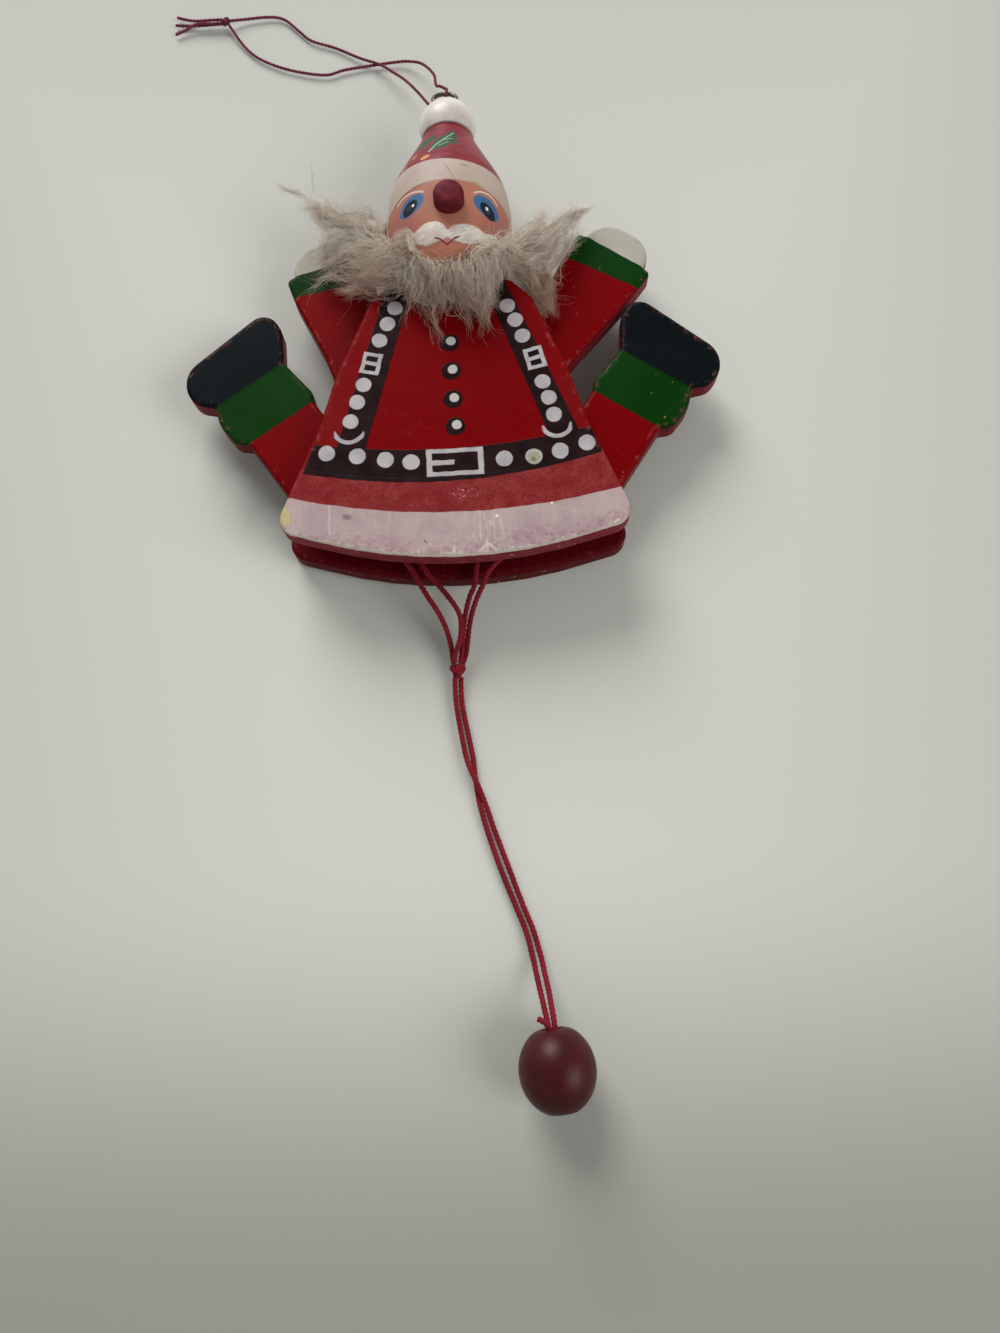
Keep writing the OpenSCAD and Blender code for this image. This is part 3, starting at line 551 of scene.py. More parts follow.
def white_marks(fin, flat):
    """1 on the dots, the braces' slides, the belt's buckle and the arcs above the belt."""
    belt_dots = ((-29.3, 26.1), (-22.2, 25.1), (-15.7, 24), (-9.8, 23.2), (11.7, 23.3),
                 (18.5, 23.6), (24.6, 24.8), (30.8, 26.6))
    brace_dots = ((-13.3, 63), (-15.1, 58.9), (-17, 54.6), (-20.8, 43.2), (-22.3, 38.8),
                  (-23.8, 33.9), (13.5, 62.6), (15.3, 58.8), (16.9, 54.5), (21.2, 42.4),
                  (22.5, 38.3), (23.5, 33.9))
    white = fin.dots(flat, belt_dots, 1.95).most(fin.dots(flat, brace_dots, 1.85))
    for middle, tilt in (((-19, 48.7), -12.6), ((19.6, 48.6), 13.8)):
        frame_mask = fin.box(flat, middle, (2.3, 2.8), tilt) * (
            1 - fin.box(flat, middle, (1.35, 1.9), tilt))
        white = white.most(frame_mask).most(fin.box(flat, middle, (2.1, 0.5), tilt))
    buckle = fin.box(flat, (0.35, 22.9), (6.6, 3.35), 1.5) * (
        1 - fin.box(flat, (0.35, 22.9), (5.3, 2.3), 1.5))
    white = white.most(buckle).most(fin.box(flat, (-2.7, 22.8), (2.9, 0.6), 1.5))
    white = white.most(fin.arc(flat, ((-27.6, 31), (-20.7, 30.8)), (-24.3, 28.7), 0.5))
    white = white.most(fin.arc(flat, ((20.7, 30.6), (27.5, 31.4)), (23.9, 28.5), 0.5))
    return white


def front_paint(paint):
    """The coat, braces, belt and hem painted on the front board."""
    fin = Finish("front_paint")
    point = fin.position()
    px, py, pz = fin.axes(point)
    flat = fin.by_hand(fin.joined(px, py), 0.5)
    x, y, _ = fin.axes(flat)
    inset = fin.stored("inset", 2)

    colour = red_coat(fin, point, paint.red)
    scuff = fin.noise(point, 1.5, 4, 0.6)
    # The skirt below the belt, and faintly the coat outside the braces, is painted lighter: partly
    # scuffed coat, partly painted sheen of the lacquer.
    skirt = fin.over(paint.skirt, srgb(138, 54, 52),
                     fin.above(fin.noise(point, 0.22, 4, 0.6), 0.5, 0.2))
    skirt = fin.over(skirt, srgb(104, 22, 28), fin.above(scuff, 0.56, 0.07) * 0.6)
    belt_high = x * 0.0361 + x * x * 0.00324 + 26.3
    belt_low = x * 0.0437 + x * x * 0.00382 + 18.3
    left_in = (y - 65.5) * 0.2693 - 9.9
    left_out = (y - 65.5) * 0.2853 - 16.2
    right_in = (y - 64) * -0.361 + 9.6
    right_out = (y - 64) * -0.406 + 15.3
    scuff_and_sheen = fin.below(y, belt_low + 1).most(
        (fin.below(x, left_out).most(fin.above(x, right_out))) * fin.below(y, 44, 12) * 0.14)
    colour = fin.over(colour, skirt, scuff_and_sheen)

    scratches = fin.noise(fin.stretched(point, (0.16, 3.4, 1), 28), 1.1, 3, 0.7)
    across = fin.noise(fin.stretched(point, (0.18, 3.6, 1), -35), 1.3, 3, 0.7)
    lines = fin.above(scratches, 0.69, 0.03).most(fin.above(across, 0.71, 0.03))
    where = fin.ellipse(flat, (-8, 32.5), (10, 3.6), -12, 0.5).most(
        fin.ellipse(flat, (-28, 35), (4, 8), 10, 0.5)).most(
        fin.ellipse(flat, (27, 37), (4, 8), -10, 0.5))
    colour = fin.over(colour, srgb(158, 84, 80), lines * where * 0.4)

    hem_high = x * x * 0.0033 + 10.7
    colour = fin.over(colour, hem_paint(fin, paint, point, flat), fin.below(y, hem_high, 0.12))

    belt = fin.above(y, belt_low) * fin.below(y, belt_high)
    belt = belt * fin.above(x - y * 0.352, -42.23) * fin.below(x + y * 0.338, 42.51)
    braces = (fin.above(x, left_out) * fin.below(x, left_in)).most(
        fin.above(x, right_in) * fin.below(x, right_out)) * fin.above(y, belt_low + 1)
    buttons = ((-0.4, 53.4), (-0.1, 46), (0.2, 38.7), (0.6, 31.8))
    black = belt.most(braces).most(fin.dots(flat, buttons, 2.3))
    black_paint = fin.over(paint.black, srgb(38, 23, 24),
                           fin.above(fin.noise(point, 0.25, 4), 0.5, 0.2))
    colour = fin.over(colour, black_paint, black)

    white = white_marks(fin, flat)
    white_paint = fin.over(paint.white, srgb(150, 146, 148),
                           fin.above(fin.noise(point, 0.3, 3), 0.52, 0.2) * 0.7)
    colour = fin.over(colour, white_paint, white)
    colour = fin.over(colour, srgb(150, 146, 112), fin.dots(flat, ((18.5, 23.3),), 1.5, 0.4) * 0.8)
    colour = fin.over(colour, srgb(112, 106, 82), fin.dots(flat, ((18.4, 22.9),), 0.6, 0.3) * 0.8)
    shine = tuple((cx + 0.3, cy + 0.4) for cx, cy in buttons)
    glint = fin.dots(flat, shine, 1.15, 0.12)
    colour = fin.over(colour, srgb(184, 180, 176), glint)
    # Painted glints: tiny bright specks below the buckle, standing for light caught on the lacquer.
    painted_glints = fin.above(fin.noise(point, 2.6, 1), 0.66, 0.03) * fin.ellipse(
        flat, (2.2, 15.2), (3.4, 1.3), 0, 0.5)
    colour = fin.over(colour, srgb(226, 186, 186), painted_glints * fin.above(y, hem_high + 0.4))

    wall = fin.over(srgb(134, 52, 56), srgb(108, 32, 40), fin.above(fin.noise(
        fin.stretched(point, (0.2, 0.2, 1.6)), 1.2, 3), 0.5, 0.2))
    on_top = fin.above(pz + fin.noise(point, 0.6, 3) * 0.5, TOP_Z - 0.35, 0.1)
    colour = fin.over(wall, colour, on_top)
    colour, chip = worn(fin, point, inset, colour, srgb(150, 84, 78))
    scraped = fin.above(fin.noise(point, 0.4, 4), 0.5, 0.2)
    height = black * 0.03 + white * 0.05 - chip * 0.09 + fin.noise(
        fin.stretched(point, (0.2, 1.4, 1), 4), 1.4, 3) * 0.03 + scuff * scuff_and_sheen * 0.06
    rough = fin.blend(0.34, 0.5, scuff_and_sheen.most(chip)) + scraped * 0.08
    return fin.surface(colour, rough, height, Specular_ior_level=0.04)


def back_paint(paint):
    """The plain coat of the back board."""
    fin = Finish("back_paint")
    point = fin.position()
    grain = fin.noise(fin.stretched(point, (1.1, 0.09, 1), 3), 0.8, 4, 0.65)
    colour = fin.over(paint.deep_red, srgb(88, 8, 18), fin.above(grain, 0.52, 0.15))
    colour, chip = worn(fin, point, fin.stored("inset", 2), colour, srgb(134, 66, 66))
    return fin.surface(colour, 0.42 + grain * 0.12, grain * 0.06 - chip * 0.08,
                       Specular_ior_level=0.05)


def limb_paint(name, paint, cuff, hand):
    """Red, a green cuff between two lines, and the hand or boot beyond them.

    cuff holds the lower and upper line, each as its place along the limb and its slant.
    """
    fin = Finish(name)
    point = fin.position()
    local = fin.stored("limb_place")
    inset = fin.stored("inset", 2)
    lu, lv, lz = fin.axes(local)
    u, v, _ = fin.axes(fin.by_hand(fin.joined(lu, lv), 0.5))
    (low, low_slant), (high, high_slant) = cuff
    base = red_coat(fin, point, paint.red)
    sheen = fin.noise(point, 0.06, 2)
    green = fin.over(paint.green, srgb(14, 54, 14), fin.above(sheen, 0.5, 0.2))
    tip = fin.over(hand[0], hand[1], fin.above(fin.noise(point, 0.09, 3), 0.5, 0.2))
    colour = fin.over(base, green, fin.above(u - v * low_slant, low))
    colour = fin.over(colour, tip, fin.above(u - v * high_slant, high))
    wall = fin.over(srgb(116, 34, 44), srgb(90, 18, 28), fin.above(fin.noise(
        fin.stretched(point, (0.2, 0.2, 1.6)), 1.1, 3), 0.5, 0.2))
    on_top = fin.above(lz + fin.noise(point, 0.5, 4, 0.6) * 0.7, LIMB_T - 0.3, 0.12)
    colour = fin.over(wall, colour, on_top)
    speck = fin.above(fin.noise(point, 0.75, 2), 0.755, 0.01)
    colour, chip = worn(fin, point, inset, colour, srgb(150, 88, 80), 0.95)
    speck = speck * fin.below(u, high - 0.5, 0.3) * on_top
    colour = fin.over(colour, srgb(176, 140, 92), speck * 0.6)
    flaked = fin.above(fin.noise(fin.stretched(local, (1, 1, 0.4)), 0.8, 4, 0.7)
                       - abs(inset - 0.5) * 0.12, 0.6, 0.02) * fin.below(inset, 1.1, 0.2)
    colour = fin.over(colour, srgb(134, 62, 56), flaked * fin.above(u, low - 1, 0.5) * 0.7)
    ring = fin.below(abs(u - v * high_slant - high + 0.1), 0.16, 0.12) * on_top
    colour = fin.over(colour, times(paint.green, 0.4), ring * 0.6)
    brushed = fin.noise(fin.stretched(local, (1.2, 0.2, 1)), 1.3, 3)
    return fin.surface(colour, 0.33 + fin.noise(point, 0.2, 3) * 0.12,
                       brushed * 0.03 - chip * 0.08 - speck * 0.05, Specular_ior_level=0.04)


def eye_paint(fin, doll, flat, blotch, colour):
    """The two painted eyes and the pale lines above them, over the face's colour."""
    for centre, radii, tilt, pupil, pupil_radii, pupil_tilt, light, light_r in (
            ((-8.8, 83.4), (3.8, 2.3), 24, (-9.1, 82.9), (2.4, 1.6), 32, (-8.12, 83.26), 0.36),
            ((10.4, 82.85), (3.9, 2.5), -23, (10.64, 81.9), (2.45, 1.6), -37, (10.33, 82.5), 0.44)):
        iris = fin.over(doll.eyes, srgb(54, 92, 134), fin.above(blotch, 0.5, 0.2))
        colour = fin.over(colour, iris, fin.ellipse(flat, centre, radii, tilt, 0.05))
        colour = fin.over(colour, srgb(22, 26, 36),
                          fin.ellipse(flat, pupil, pupil_radii, pupil_tilt, 0.07))
        colour = fin.over(colour, srgb(52, 62, 76), fin.ellipse(
            flat, (pupil[0] - 0.2, pupil[1] + 0.1), (pupil_radii[0] * 0.4, pupil_radii[1] * 0.45),
            pupil_tilt, 0.4) * 0.8)
        colour = fin.over(colour, srgb(226, 224, 218), fin.dots(flat, (light,), light_r, 0.08))
    lids = fin.arc(flat, ((-13.5, 85.7), (-5.2, 85.9)), (-9.6, 86.8), 0.2).most(
        fin.arc(flat, ((6.8, 85.6), (13.8, 84.9)), (10.5, 86.6), 0.2))
    colour = fin.over(colour, srgb(206, 194, 186), lids)
    return colour


def hat_paint(fin, doll, point, flat):
    """The cap's red with its sprig of leaves, two berries and two scratches."""
    gloss = fin.noise(fin.stretched(point, (0.5, 1.6, 0.5)), 0.5, 4)
    hat = fin.over(doll.hat, srgb(132, 44, 56), fin.above(gloss, 0.5, 0.2))
    jagged = fin.by_hand(flat, 1.5, 0.8)
    leaf = fin.ellipse(jagged, (-1.6, 102.6), (3.7, 2.7), 38, 0.06).most(
        fin.ellipse(jagged, (1.9, 105.2), (3, 2.2), 50, 0.06)).most(
        fin.ellipse(jagged, (-8.2, 104.6), (4.3, 1.7), 24, 0.06)).most(
        fin.ellipse(jagged, (2.5, 102.9), (2.1, 1), -12, 0.08))
    hat = fin.over(hat, srgb(40, 78, 52), leaf)
    for start, end, half in (((-5.1, 98.9), (-3.1, 102), 0.33), ((-3.1, 102), (0.2, 104.8), 0.28),
                             ((0.2, 104.8), (3.4, 107.2), 0.22), ((-2.4, 101), (0.9, 102.6), 0.16),
                             ((-1, 103.6), (2.6, 104.4), 0.14)):
        hat = fin.over(hat, srgb(150, 178, 158), fin.stroke(flat, start, end, half) * 0.85)
    hat = fin.over(hat, srgb(214, 140, 92), fin.ellipse(
        flat, (-5.7, 96.9), (1.35, 0.7), 14, 0.1).most(
        fin.ellipse(flat, (-10.1, 99.2), (0.95, 0.5), 38, 0.12)))
    scratch = fin.stroke(flat, (-14.4, 96.2), (-12.8, 98), 0.3).most(
        fin.stroke(flat, (-16.4, 99.8), (-15.2, 101.3), 0.25))
    hat = fin.over(hat, srgb(196, 178, 168), scratch)
    return hat


def head_paint(doll):
    """The turned head: a doll's painted face, a white band and a hat with a sprig."""
    fin = Finish("head_paint")
    point = fin.position()
    px, py, pz = fin.axes(point)
    turn = fin.add("Math", {"operation": "ARCTAN2"}, {0: px, 1: pz - AXIS_Z})
    flat = fin.by_hand(fin.joined(turn * HEAD_R, py), 0.35, 0.5)
    u, y, _ = fin.axes(flat)
    degrees = turn * math.degrees(1)

    blotch = fin.noise(point, 0.16, 4)
    colour = fin.over(doll.flesh, srgb(166, 108, 86), fin.above(blotch, 0.52, 0.2))
    blush = fin.ellipse(flat, (-13, 79), (6, 5), 0, 0.6).most(
        fin.ellipse(flat, (15, 78.5), (6, 5), 0, 0.6))
    colour = fin.over(colour, srgb(154, 92, 92), blush * 0.6)
    # Painted light: the flesh under the moustache is made lighter where the head's curve and the
    # beard shade it.
    colour = fin.over(colour, srgb(208, 136, 110), fin.below(y, 72.6, 0.8) * 0.75)
    folded = abs(degrees).least(100)
    brow = folded * folded * -0.0007 + 88.5

    colour = eye_paint(fin, doll, flat, blotch, colour)
    streaky = fin.by_hand(flat, 0.4, 0.8)
    lip = fin.ellipse(streaky, (-4.3, 75.2), (4.3, 2.4), 6, 0.1)
    for centre, radii, tilt in (((-8, 74.9), (3.2, 1.2), -10), ((5.2, 74.95), (4.9, 2.1), 1),
                                ((10.4, 75.1), (4.3, 1.05), 13), ((0.3, 74.2), (1.8, 1.3), 0)):
        lip = lip.most(fin.ellipse(streaky, centre, radii, tilt, 0.1))
    whiskers = fin.over(srgb(200, 184, 172), srgb(224, 218, 208), fin.above(fin.noise(
        fin.stretched(point, (0.5, 1.6, 0.6), -20), 0.9, 3), 0.5, 0.2))
    colour = fin.over(colour, whiskers, lip)
    off = abs(u - 0.1)
    mouth_y = off.least(1.9) * 0.66 + (off - 1.9).most(0) * 0.28 + 72.44
    pink = fin.above(y, mouth_y) * fin.below(y + off * 0.5, 74, 0.15) * fin.below(off, 1.5, 0.2)
    colour = fin.over(colour, srgb(190, 120, 108), pink * 0.9)
    line = fin.below(abs(y - mouth_y), 0.17, 0.07) * fin.below(off, 3.1, 0.2)
    colour = fin.over(colour, srgb(122, 36, 38), line)

    band = fin.over(doll.band, srgb(168, 152, 140),
                    fin.above(fin.noise(point, 0.16, 4, 0.6), 0.5, 0.2) * 0.7)
    band = fin.over(band, srgb(150, 132, 92), fin.ellipse(
        streaky, (7.5, 87.7), (1.8, 0.9), -20, 0.6) * 0.8)
    band = fin.over(band, srgb(128, 116, 104), fin.ellipse(
        streaky, (4.8, 93.2), (1.2, 0.3), -10, 0.5) * 0.7)
    colour = fin.over(colour, band, fin.above(y, brow, 0.15))
    edge_line = fin.below(abs(y - brow), 0.22, 0.15) * fin.below(degrees, -18, 8)
    colour = fin.over(colour, srgb(124, 72, 58), edge_line * 0.75)

    hat_low = 95.1 - fin.add("Math", {"operation": "SINE"}, {0: turn}) * 0.72
    hat = hat_paint(fin, doll, point, flat)
    colour = fin.over(colour, hat, fin.above(y, hat_low, 0.12))
    lathe = fin.noise(fin.joined(0.0, py), 2.2, 2)
    height = lathe * 0.03 + lip * 0.08 + blotch * 0.05 + fin.above(y, brow, 0.3) * 0.05
    rough = fin.blend(0.42, 0.3, fin.above(y, hat_low, 0.1)) + blotch * 0.1
    return fin.surface(colour, rough, height, Specular_ior_level=0.15)


def knob_paint(name, base, dusky, scale, rough, spec, grain=0.03):
    """A turned knob dipped in paint, with faint turning lines."""
    fin = Finish(name)
    point = fin.position()
    cloud = fin.noise(point, scale, 4, 0.6)
    fine = fin.noise(point, scale * 7, 3, 0.6)
    colour = fin.over(base, dusky, fin.above(cloud, 0.5, 0.18))
    colour = fin.over(colour, times(dusky, 0.6), fin.above(fine, 0.68, 0.05) * 0.5)
    return fin.surface(colour, rough + cloud * 0.15, cloud * 0.08 + fine * grain,
                       Specular_ior_level=spec)


def bare_wood():
    fin = Finish("bare_wood")
    point = fin.position()
    rings = fin.noise(fin.stretched(point, (1.6, 0.12, 1.6)), 0.8, 4, 0.6)
    colour = fin.over(srgb(190, 150, 104), srgb(150, 108, 68), fin.above(rings, 0.5, 0.12))
    return fin.surface(colour, 0.7, rings * 0.08, Specular_ior_level=0.3)


def metal(name, base, dull, rough):
    fin = Finish(name)
    point = fin.position()
    tarnish = fin.noise(point, 0.9, 4, 0.6)
    colour = fin.over(base, dull, fin.above(tarnish, 0.48, 0.15))
    return fin.surface(colour, rough + tarnish * 0.25, tarnish * 0.03, Metallic=0.9)


def twisted_yarn(name, base, light):
    """Spun cotton: fine fibres that follow the twist, with a little fuzz."""
    fin = Finish(name)
    point = fin.position()
    along = fin.stored("cord_place")
    fibre = fin.noise(fin.stretched(along, (0.8, 7, 1)), 1.6, 3, 0.65)
    shade = fin.noise(point, 0.2, 3)
    colour = fin.over(base, light, fin.above(fibre, 0.5, 0.14))
    colour = fin.over(colour, times(base, 0.55), fin.above(shade, 0.55, 0.2) * 0.5)
    return fin.surface(colour, 0.75, fibre * 0.07, Specular_ior_level=0.12, Sheen_weight=0.04,
                       Sheen_roughness=0.5)


def hair_colour(name, base, dark):
    """Pale fleece, with painted reddish shade where it is thin over the coat, low on the beard and
    to its right.
    """
    fin = Finish(name)
    point = fin.position()
    x, y, _ = fin.axes(point)
    lock = fin.noise(point, 0.22, 3)
    fine = fin.noise(point, 1.6, 2)
    colour = fin.over(base, dark, fin.above(lock * 0.6 + fine * 0.4, 0.5, 0.12) * 0.8)
    # Painted shade: thin hair low and to the right is darkened towards red, standing for its shade
    # and the coat's red seen through it.
    painted_red_shade = fin.below(y - fin.above(abs(x), 14, 5) * 9 - fin.above(x, 22, 4) * 6, 63, 8)
    red_shade_colour = tuple(c * k for c, k in zip(base, (0.6, 0.38, 0.3)))
    colour = fin.over(colour, red_shade_colour, painted_red_shade * 0.75)
    return fin.surface(colour, 0.55 + fine * 0.1, fine * 0.1, Specular_ior_level=0.2)


# Mesh building

def mesh_of(name, bm):
    """The shape as a mesh. The shape itself is freed."""
    mesh = bpy.data.meshes.new(name)
    bm.to_mesh(mesh)
    bm.free()
    return mesh


def linked(name, data):
    thing = bpy.data.objects.new(name, data)
    bpy.context.scene.collection.objects.link(thing)
    return thing


def discard(blank):
    mesh = blank.data
    bpy.data.objects.remove(blank)
    bpy.data.meshes.remove(mesh)


def taken_from(blank):
    """The mesh that a blank's modifiers make. The blank itself is discarded."""
    depsgraph = bpy.context.evaluated_depsgraph_get()
    mesh = bpy.data.meshes.new_from_object(blank.evaluated_get(depsgraph))
    discard(blank)
    return mesh


def coat(node, material):
    """Sets the material of a solid that stays in the scene as it is."""
    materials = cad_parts[node].data.materials
    materials.clear()
    materials.append(material)


def finish_piece(name, shape, material, body, stands_for=()):
    """Makes the shape, in millimetres, an object that rides on a body."""
    if isinstance(shape, bmesh.types.BMesh):
        bmesh.ops.recalc_face_normals(shape, faces=shape.faces[:])
        mesh = mesh_of(name, shape)
    else:
        mesh = shape
        mesh.name = name
    mesh.transform(TO_FRAME)
    mesh.shade_smooth()
    mesh.set_sharp_from_angle(angle=math.radians(50))
    mesh.materials.clear()
    mesh.materials.append(material)
    piece = linked(name, mesh)
    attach(piece, body)
    if stands_for:
        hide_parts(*stands_for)
    return piece


def weighted(piece):
    """Shades flat faces flat and leaves the rounding to the sanded edges."""
    even = piece.modifiers.new("even_shading", "WEIGHTED_NORMAL")
    even.keep_sharp = True


def rounded_face(corners):
    """A flat face whose corners, given as x, y and radius, are rounded."""
    bm = bmesh.new()
    points = [Vector((x, y, 0)) for x, y, _ in corners]
    verts = [bm.verts.new(p) for p in points]
    bm.faces.new(verts)
    for i, (vert, here, corner) in enumerate(zip(verts, points, corners)):
        before = points[i - 1] - here
        after = points[(i + 1) % len(points)] - here
        opening = before.angle(after)
        if corner[2] > 0:
            turn = math.degrees(math.pi - opening)
            bmesh.ops.bevel(bm, geom=[vert], offset=corner[2] / math.tan(opening / 2),
                            offset_type="OFFSET", segments=max(2, round(turn / 7)), profile=0.5,
                            affect="VERTICES", material=-1, clamp_overlap=False)
    return bm


def thicken(bm, faces, height):
    """Pulls flat faces up into a solid."""
    raised = bmesh.ops.extrude_face_region(bm, geom=faces)["geom"]
    bmesh.ops.translate(bm, vec=(0, 0, height),
                        verts=[g for g in raised if isinstance(g, bmesh.types.BMVert)])
    bmesh.ops.recalc_face_normals(bm, faces=bm.faces[:])


def plank(corners, thickness, cell=2.0):
    """A board with sanded edges on z = 0, cut into small cells, and its outline's points."""
    bm = rounded_face(corners)
    bm.faces.ensure_lookup_table()
    outline = [loop.vert.co.xy.copy() for loop in bm.faces[0].loops]
    thicken(bm, bm.faces[:], thickness)
    bm.normal_update()
    rims = [edge for edge in bm.edges
            if len({abs(face.normal.z) > 0.5 for face in edge.link_faces}) == 2]
    bmesh.ops.bevel(bm, geom=rims, offset=SANDED, offset_type="OFFSET", segments=4, profile=0.5,
                    affect="EDGES", material=-1, clamp_overlap=False)
    for axis in (0, 1):
        spread = [point[axis] for point in outline]
        normal = Vector((1 - axis, axis, 0))
        for k in range(math.ceil(min(spread) / cell), math.floor(max(spread) / cell) + 1):
            bmesh.ops.bisect_plane(bm, geom=bm.verts[:] + bm.edges[:] + bm.faces[:], dist=1e-4,
                                   plane_co=normal * (k * cell + 0.013), plane_no=normal)
    return bm, outline


def cut_from(bm, cutter):
    """Cuts the cutter's shape out of a plank and returns the mesh."""
    board = linked("plank_blank", mesh_of("plank_blank", bm))
    bit = linked("plank_bit", mesh_of("plank_bit", cutter))
    bore = board.modifiers.new("bore", "BOOLEAN")
    bore.operation = "DIFFERENCE"
    bore.solver = "EXACT"
    bore.use_self = True
    bore.object = bit
    mesh = taken_from(board)
    discard(bit)
    return mesh


def drill(bm, x, y, diameter, low, high):
    """Adds a drill's cylinder to a cutter."""
    disc = bmesh.ops.create_circle(bm, cap_ends=True, radius=diameter / 2, segments=32,
                                   matrix=Matrix.Translation((x, y, low)))["verts"]
    thicken(bm, [disc[0].link_faces[0]], high - low)


def note_inset(mesh, outline):
    """Keeps each point's distance inside the outline, which the wear follows."""
    points = np.empty(len(mesh.vertices) * 3)
    mesh.vertices.foreach_get("co", points)
    flat = points.reshape(-1, 3)[:, :2]
    start = np.array([tuple(p) for p in outline])
    run = np.roll(start, -1, axis=0) - start
    share = ((flat[:, None] - start) * run).sum(2) / (run * run).sum(1)
    near = start + np.clip(share, 0, 1)[:, :, None] * run
    away = np.linalg.norm(flat[:, None] - near, axis=2).min(1)
    mesh.attributes.new("inset", "FLOAT", "POINT").data.foreach_set("value", away)


def spun(profile, steps=72):
    """A closed turned shape about Z from a profile of radius and height."""
    bm = bmesh.new()
    verts = [bm.verts.new((r, 0, h)) for r, h in profile]
    edges = [bm.edges.new(pair) for pair in zip(verts, verts[1:])]
    bmesh.ops.spin(bm, geom=verts + edges, cent=(0, 0, 0), axis=(0, 0, 1), dvec=(0, 0, 0),
                   angle=math.tau, steps=steps, use_merge=True, use_duplicate=False)
    bmesh.ops.remove_doubles(bm, verts=bm.verts[:], dist=1e-4)
    bmesh.ops.recalc_face_normals(bm, faces=bm.faces[:])
    return bm


def smooth(points, steps):
    """A smooth curve through points, with a few steps between each two."""
    line = []
    last = len(points) - 1
    for i in range(last):
        a, b = points[max(i - 1, 0)], points[i]
        c, d = points[i + 1], points[min(i + 2, last)]
        for k in range(steps):
            t = k / steps
            line.append(0.5 * (2 * b + (c - a) * t + (2 * a - 5 * b + 4 * c - d) * t * t
                               + (3 * b - a - 3 * c + d) * t * t * t))
    return line + [points[last]]


def evenly(points, step):
    """The line through points again, with points a step apart."""
    total = route_length(points)
    count = max(4, round(total / step))
    line, travelled, i = [points[0]], 0.0, 0
    for k in range(1, count):
        target = total * k / count
        while travelled + (points[i + 1] - points[i]).length < target:
            travelled += (points[i + 1] - points[i]).length
            i += 1
        share = (target - travelled) / (points[i + 1] - points[i]).length
        line.append(points[i].lerp(points[i + 1], share))
    return line + [points[-1]]


def route_length(points):
    return sum((b - a).length for a, b in zip(points, points[1:]))


def twist_along(bm, route, diameter, plies, pitch, step=0.4, sides=12):
    """Sweeps a section of twisted plies along a route."""
    line = evenly(smooth(route, 8), step)
    tangents = [(line[min(i + 1, len(line) - 1)] - line[max(i - 1, 0)]).normalized()
                for i in range(len(line))]
    places = bm.verts.layers.float_vector.get("cord_place")
    up = Vector((0.1, 0.2, 1))
    frames = []
    for i, (place, along) in enumerate(zip(line, tangents)):
        up = (up - along * up.dot(along)).normalized()
        turned = Matrix((up, along.cross(up), along)).transposed().to_4x4()
        frames.append(Matrix.Translation(place) @ turned
                      @ Matrix.Rotation(math.tau * i * step / pitch, 4, "Z"))
    ring = bmesh.ops.create_circle(bm, cap_ends=True, radius=diameter / 2, segments=sides)["verts"]
    for vert in ring:
        angle = math.atan2(vert.co.y, vert.co.x)
        vert.co *= 0.93 + 0.11 * math.cos(plies * angle)
        vert[places] = (angle, 0, 0)
    bmesh.ops.transform(bm, matrix=frames[0], verts=ring)
    edges = list(dict.fromkeys(edge for vert in ring for edge in vert.link_edges))
    for i in range(1, len(frames)):
        made = bmesh.ops.extrude_edge_only(bm, edges=edges)["geom"]
        ring = [g for g in made if isinstance(g, bmesh.types.BMVert)]
        edges = [g for g in made if isinstance(g, bmesh.types.BMEdge)]
        bmesh.ops.transform(bm, matrix=frames[i] @ frames[i - 1].inverted(), verts=ring)
        for vert in ring:
            vert[places].y = i * step
    bmesh.ops.holes_fill(bm, edges=edges, sides=0)
    return line


def new_cord_mesh():
    bm = bmesh.new()
    bm.verts.layers.float_vector.new("cord_place")
    return bm


def cord_piece(name, route, diameter, plies, pitch, material, body, slot, stands_for=()):
    """One twisted cord, with its centreline in the frame."""
    bm = new_cord_mesh()
    line = twist_along(bm, [Vector(p) for p in route], diameter, plies, pitch)
    piece = finish_piece(name, bm, material, body, stands_for)
    return piece, [TO_FRAME @ p for p in line]


def knot_piece(name, centre, diameter, wire, material, body, slot, stands_for=()):
    """A small overhand knot pulled into a lump."""
    bm = new_cord_mesh()
    size = (diameter - wire) / 6
    loop = [Vector((math.sin(t) + 2 * math.sin(2 * t), math.cos(t) - 2 * math.cos(2 * t),
                    -1.7 * math.sin(3 * t))) * size for t in
            (math.tau * k / 24 for k in range(25))]
    twist_along(bm, loop, wire, 3, wire * 2.5, step=wire * 0.4, sides=9)
    bmesh.ops.create_icosphere(bm, subdivisions=2, radius=diameter * 0.3)
    bmesh.ops.translate(bm, vec=centre, verts=bm.verts[:])
    return finish_piece(name, bm, material, body, stands_for)


# Settings

def colour_setting(name, description, value):
    return bpy.props.FloatVectorProperty(name=name, description=description, subtype="COLOR",
                                         size=3, min=0, max=1, default=value)


class JackPaint(bpy.types.PropertyGroup):
    """Colours of the boards, arms and legs."""
    red: colour_setting("Coat red", "Lacquer of the coat, arms and legs", srgb(111, 0, 4))
    deep_red: colour_setting("Back red", "Lacquer of the back board", srgb(78, 4, 12))
    # Skirt red is the scuffed coat, lighter also as painted sheen of the lacquer.
    skirt: colour_setting("Skirt red", "Scuffed coat below the belt", srgb(122, 32, 34))
    hem: colour_setting("Hem", "Broad band along the hem", srgb(176, 156, 153))
    black: colour_setting("Belt black", "Belt, braces and buttons", srgb(27, 15, 16))
    white: colour_setting("Dot white", "Dots and buckles", srgb(180, 174, 174))
    green: colour_setting("Cuff green", "Cuffs of the arms and legs", srgb(6, 47, 2))
    boot: colour_setting("Boot", "Boots", srgb(9, 14, 17))
    mitten: colour_setting("Mitten", "Hands", srgb(167, 163, 151))


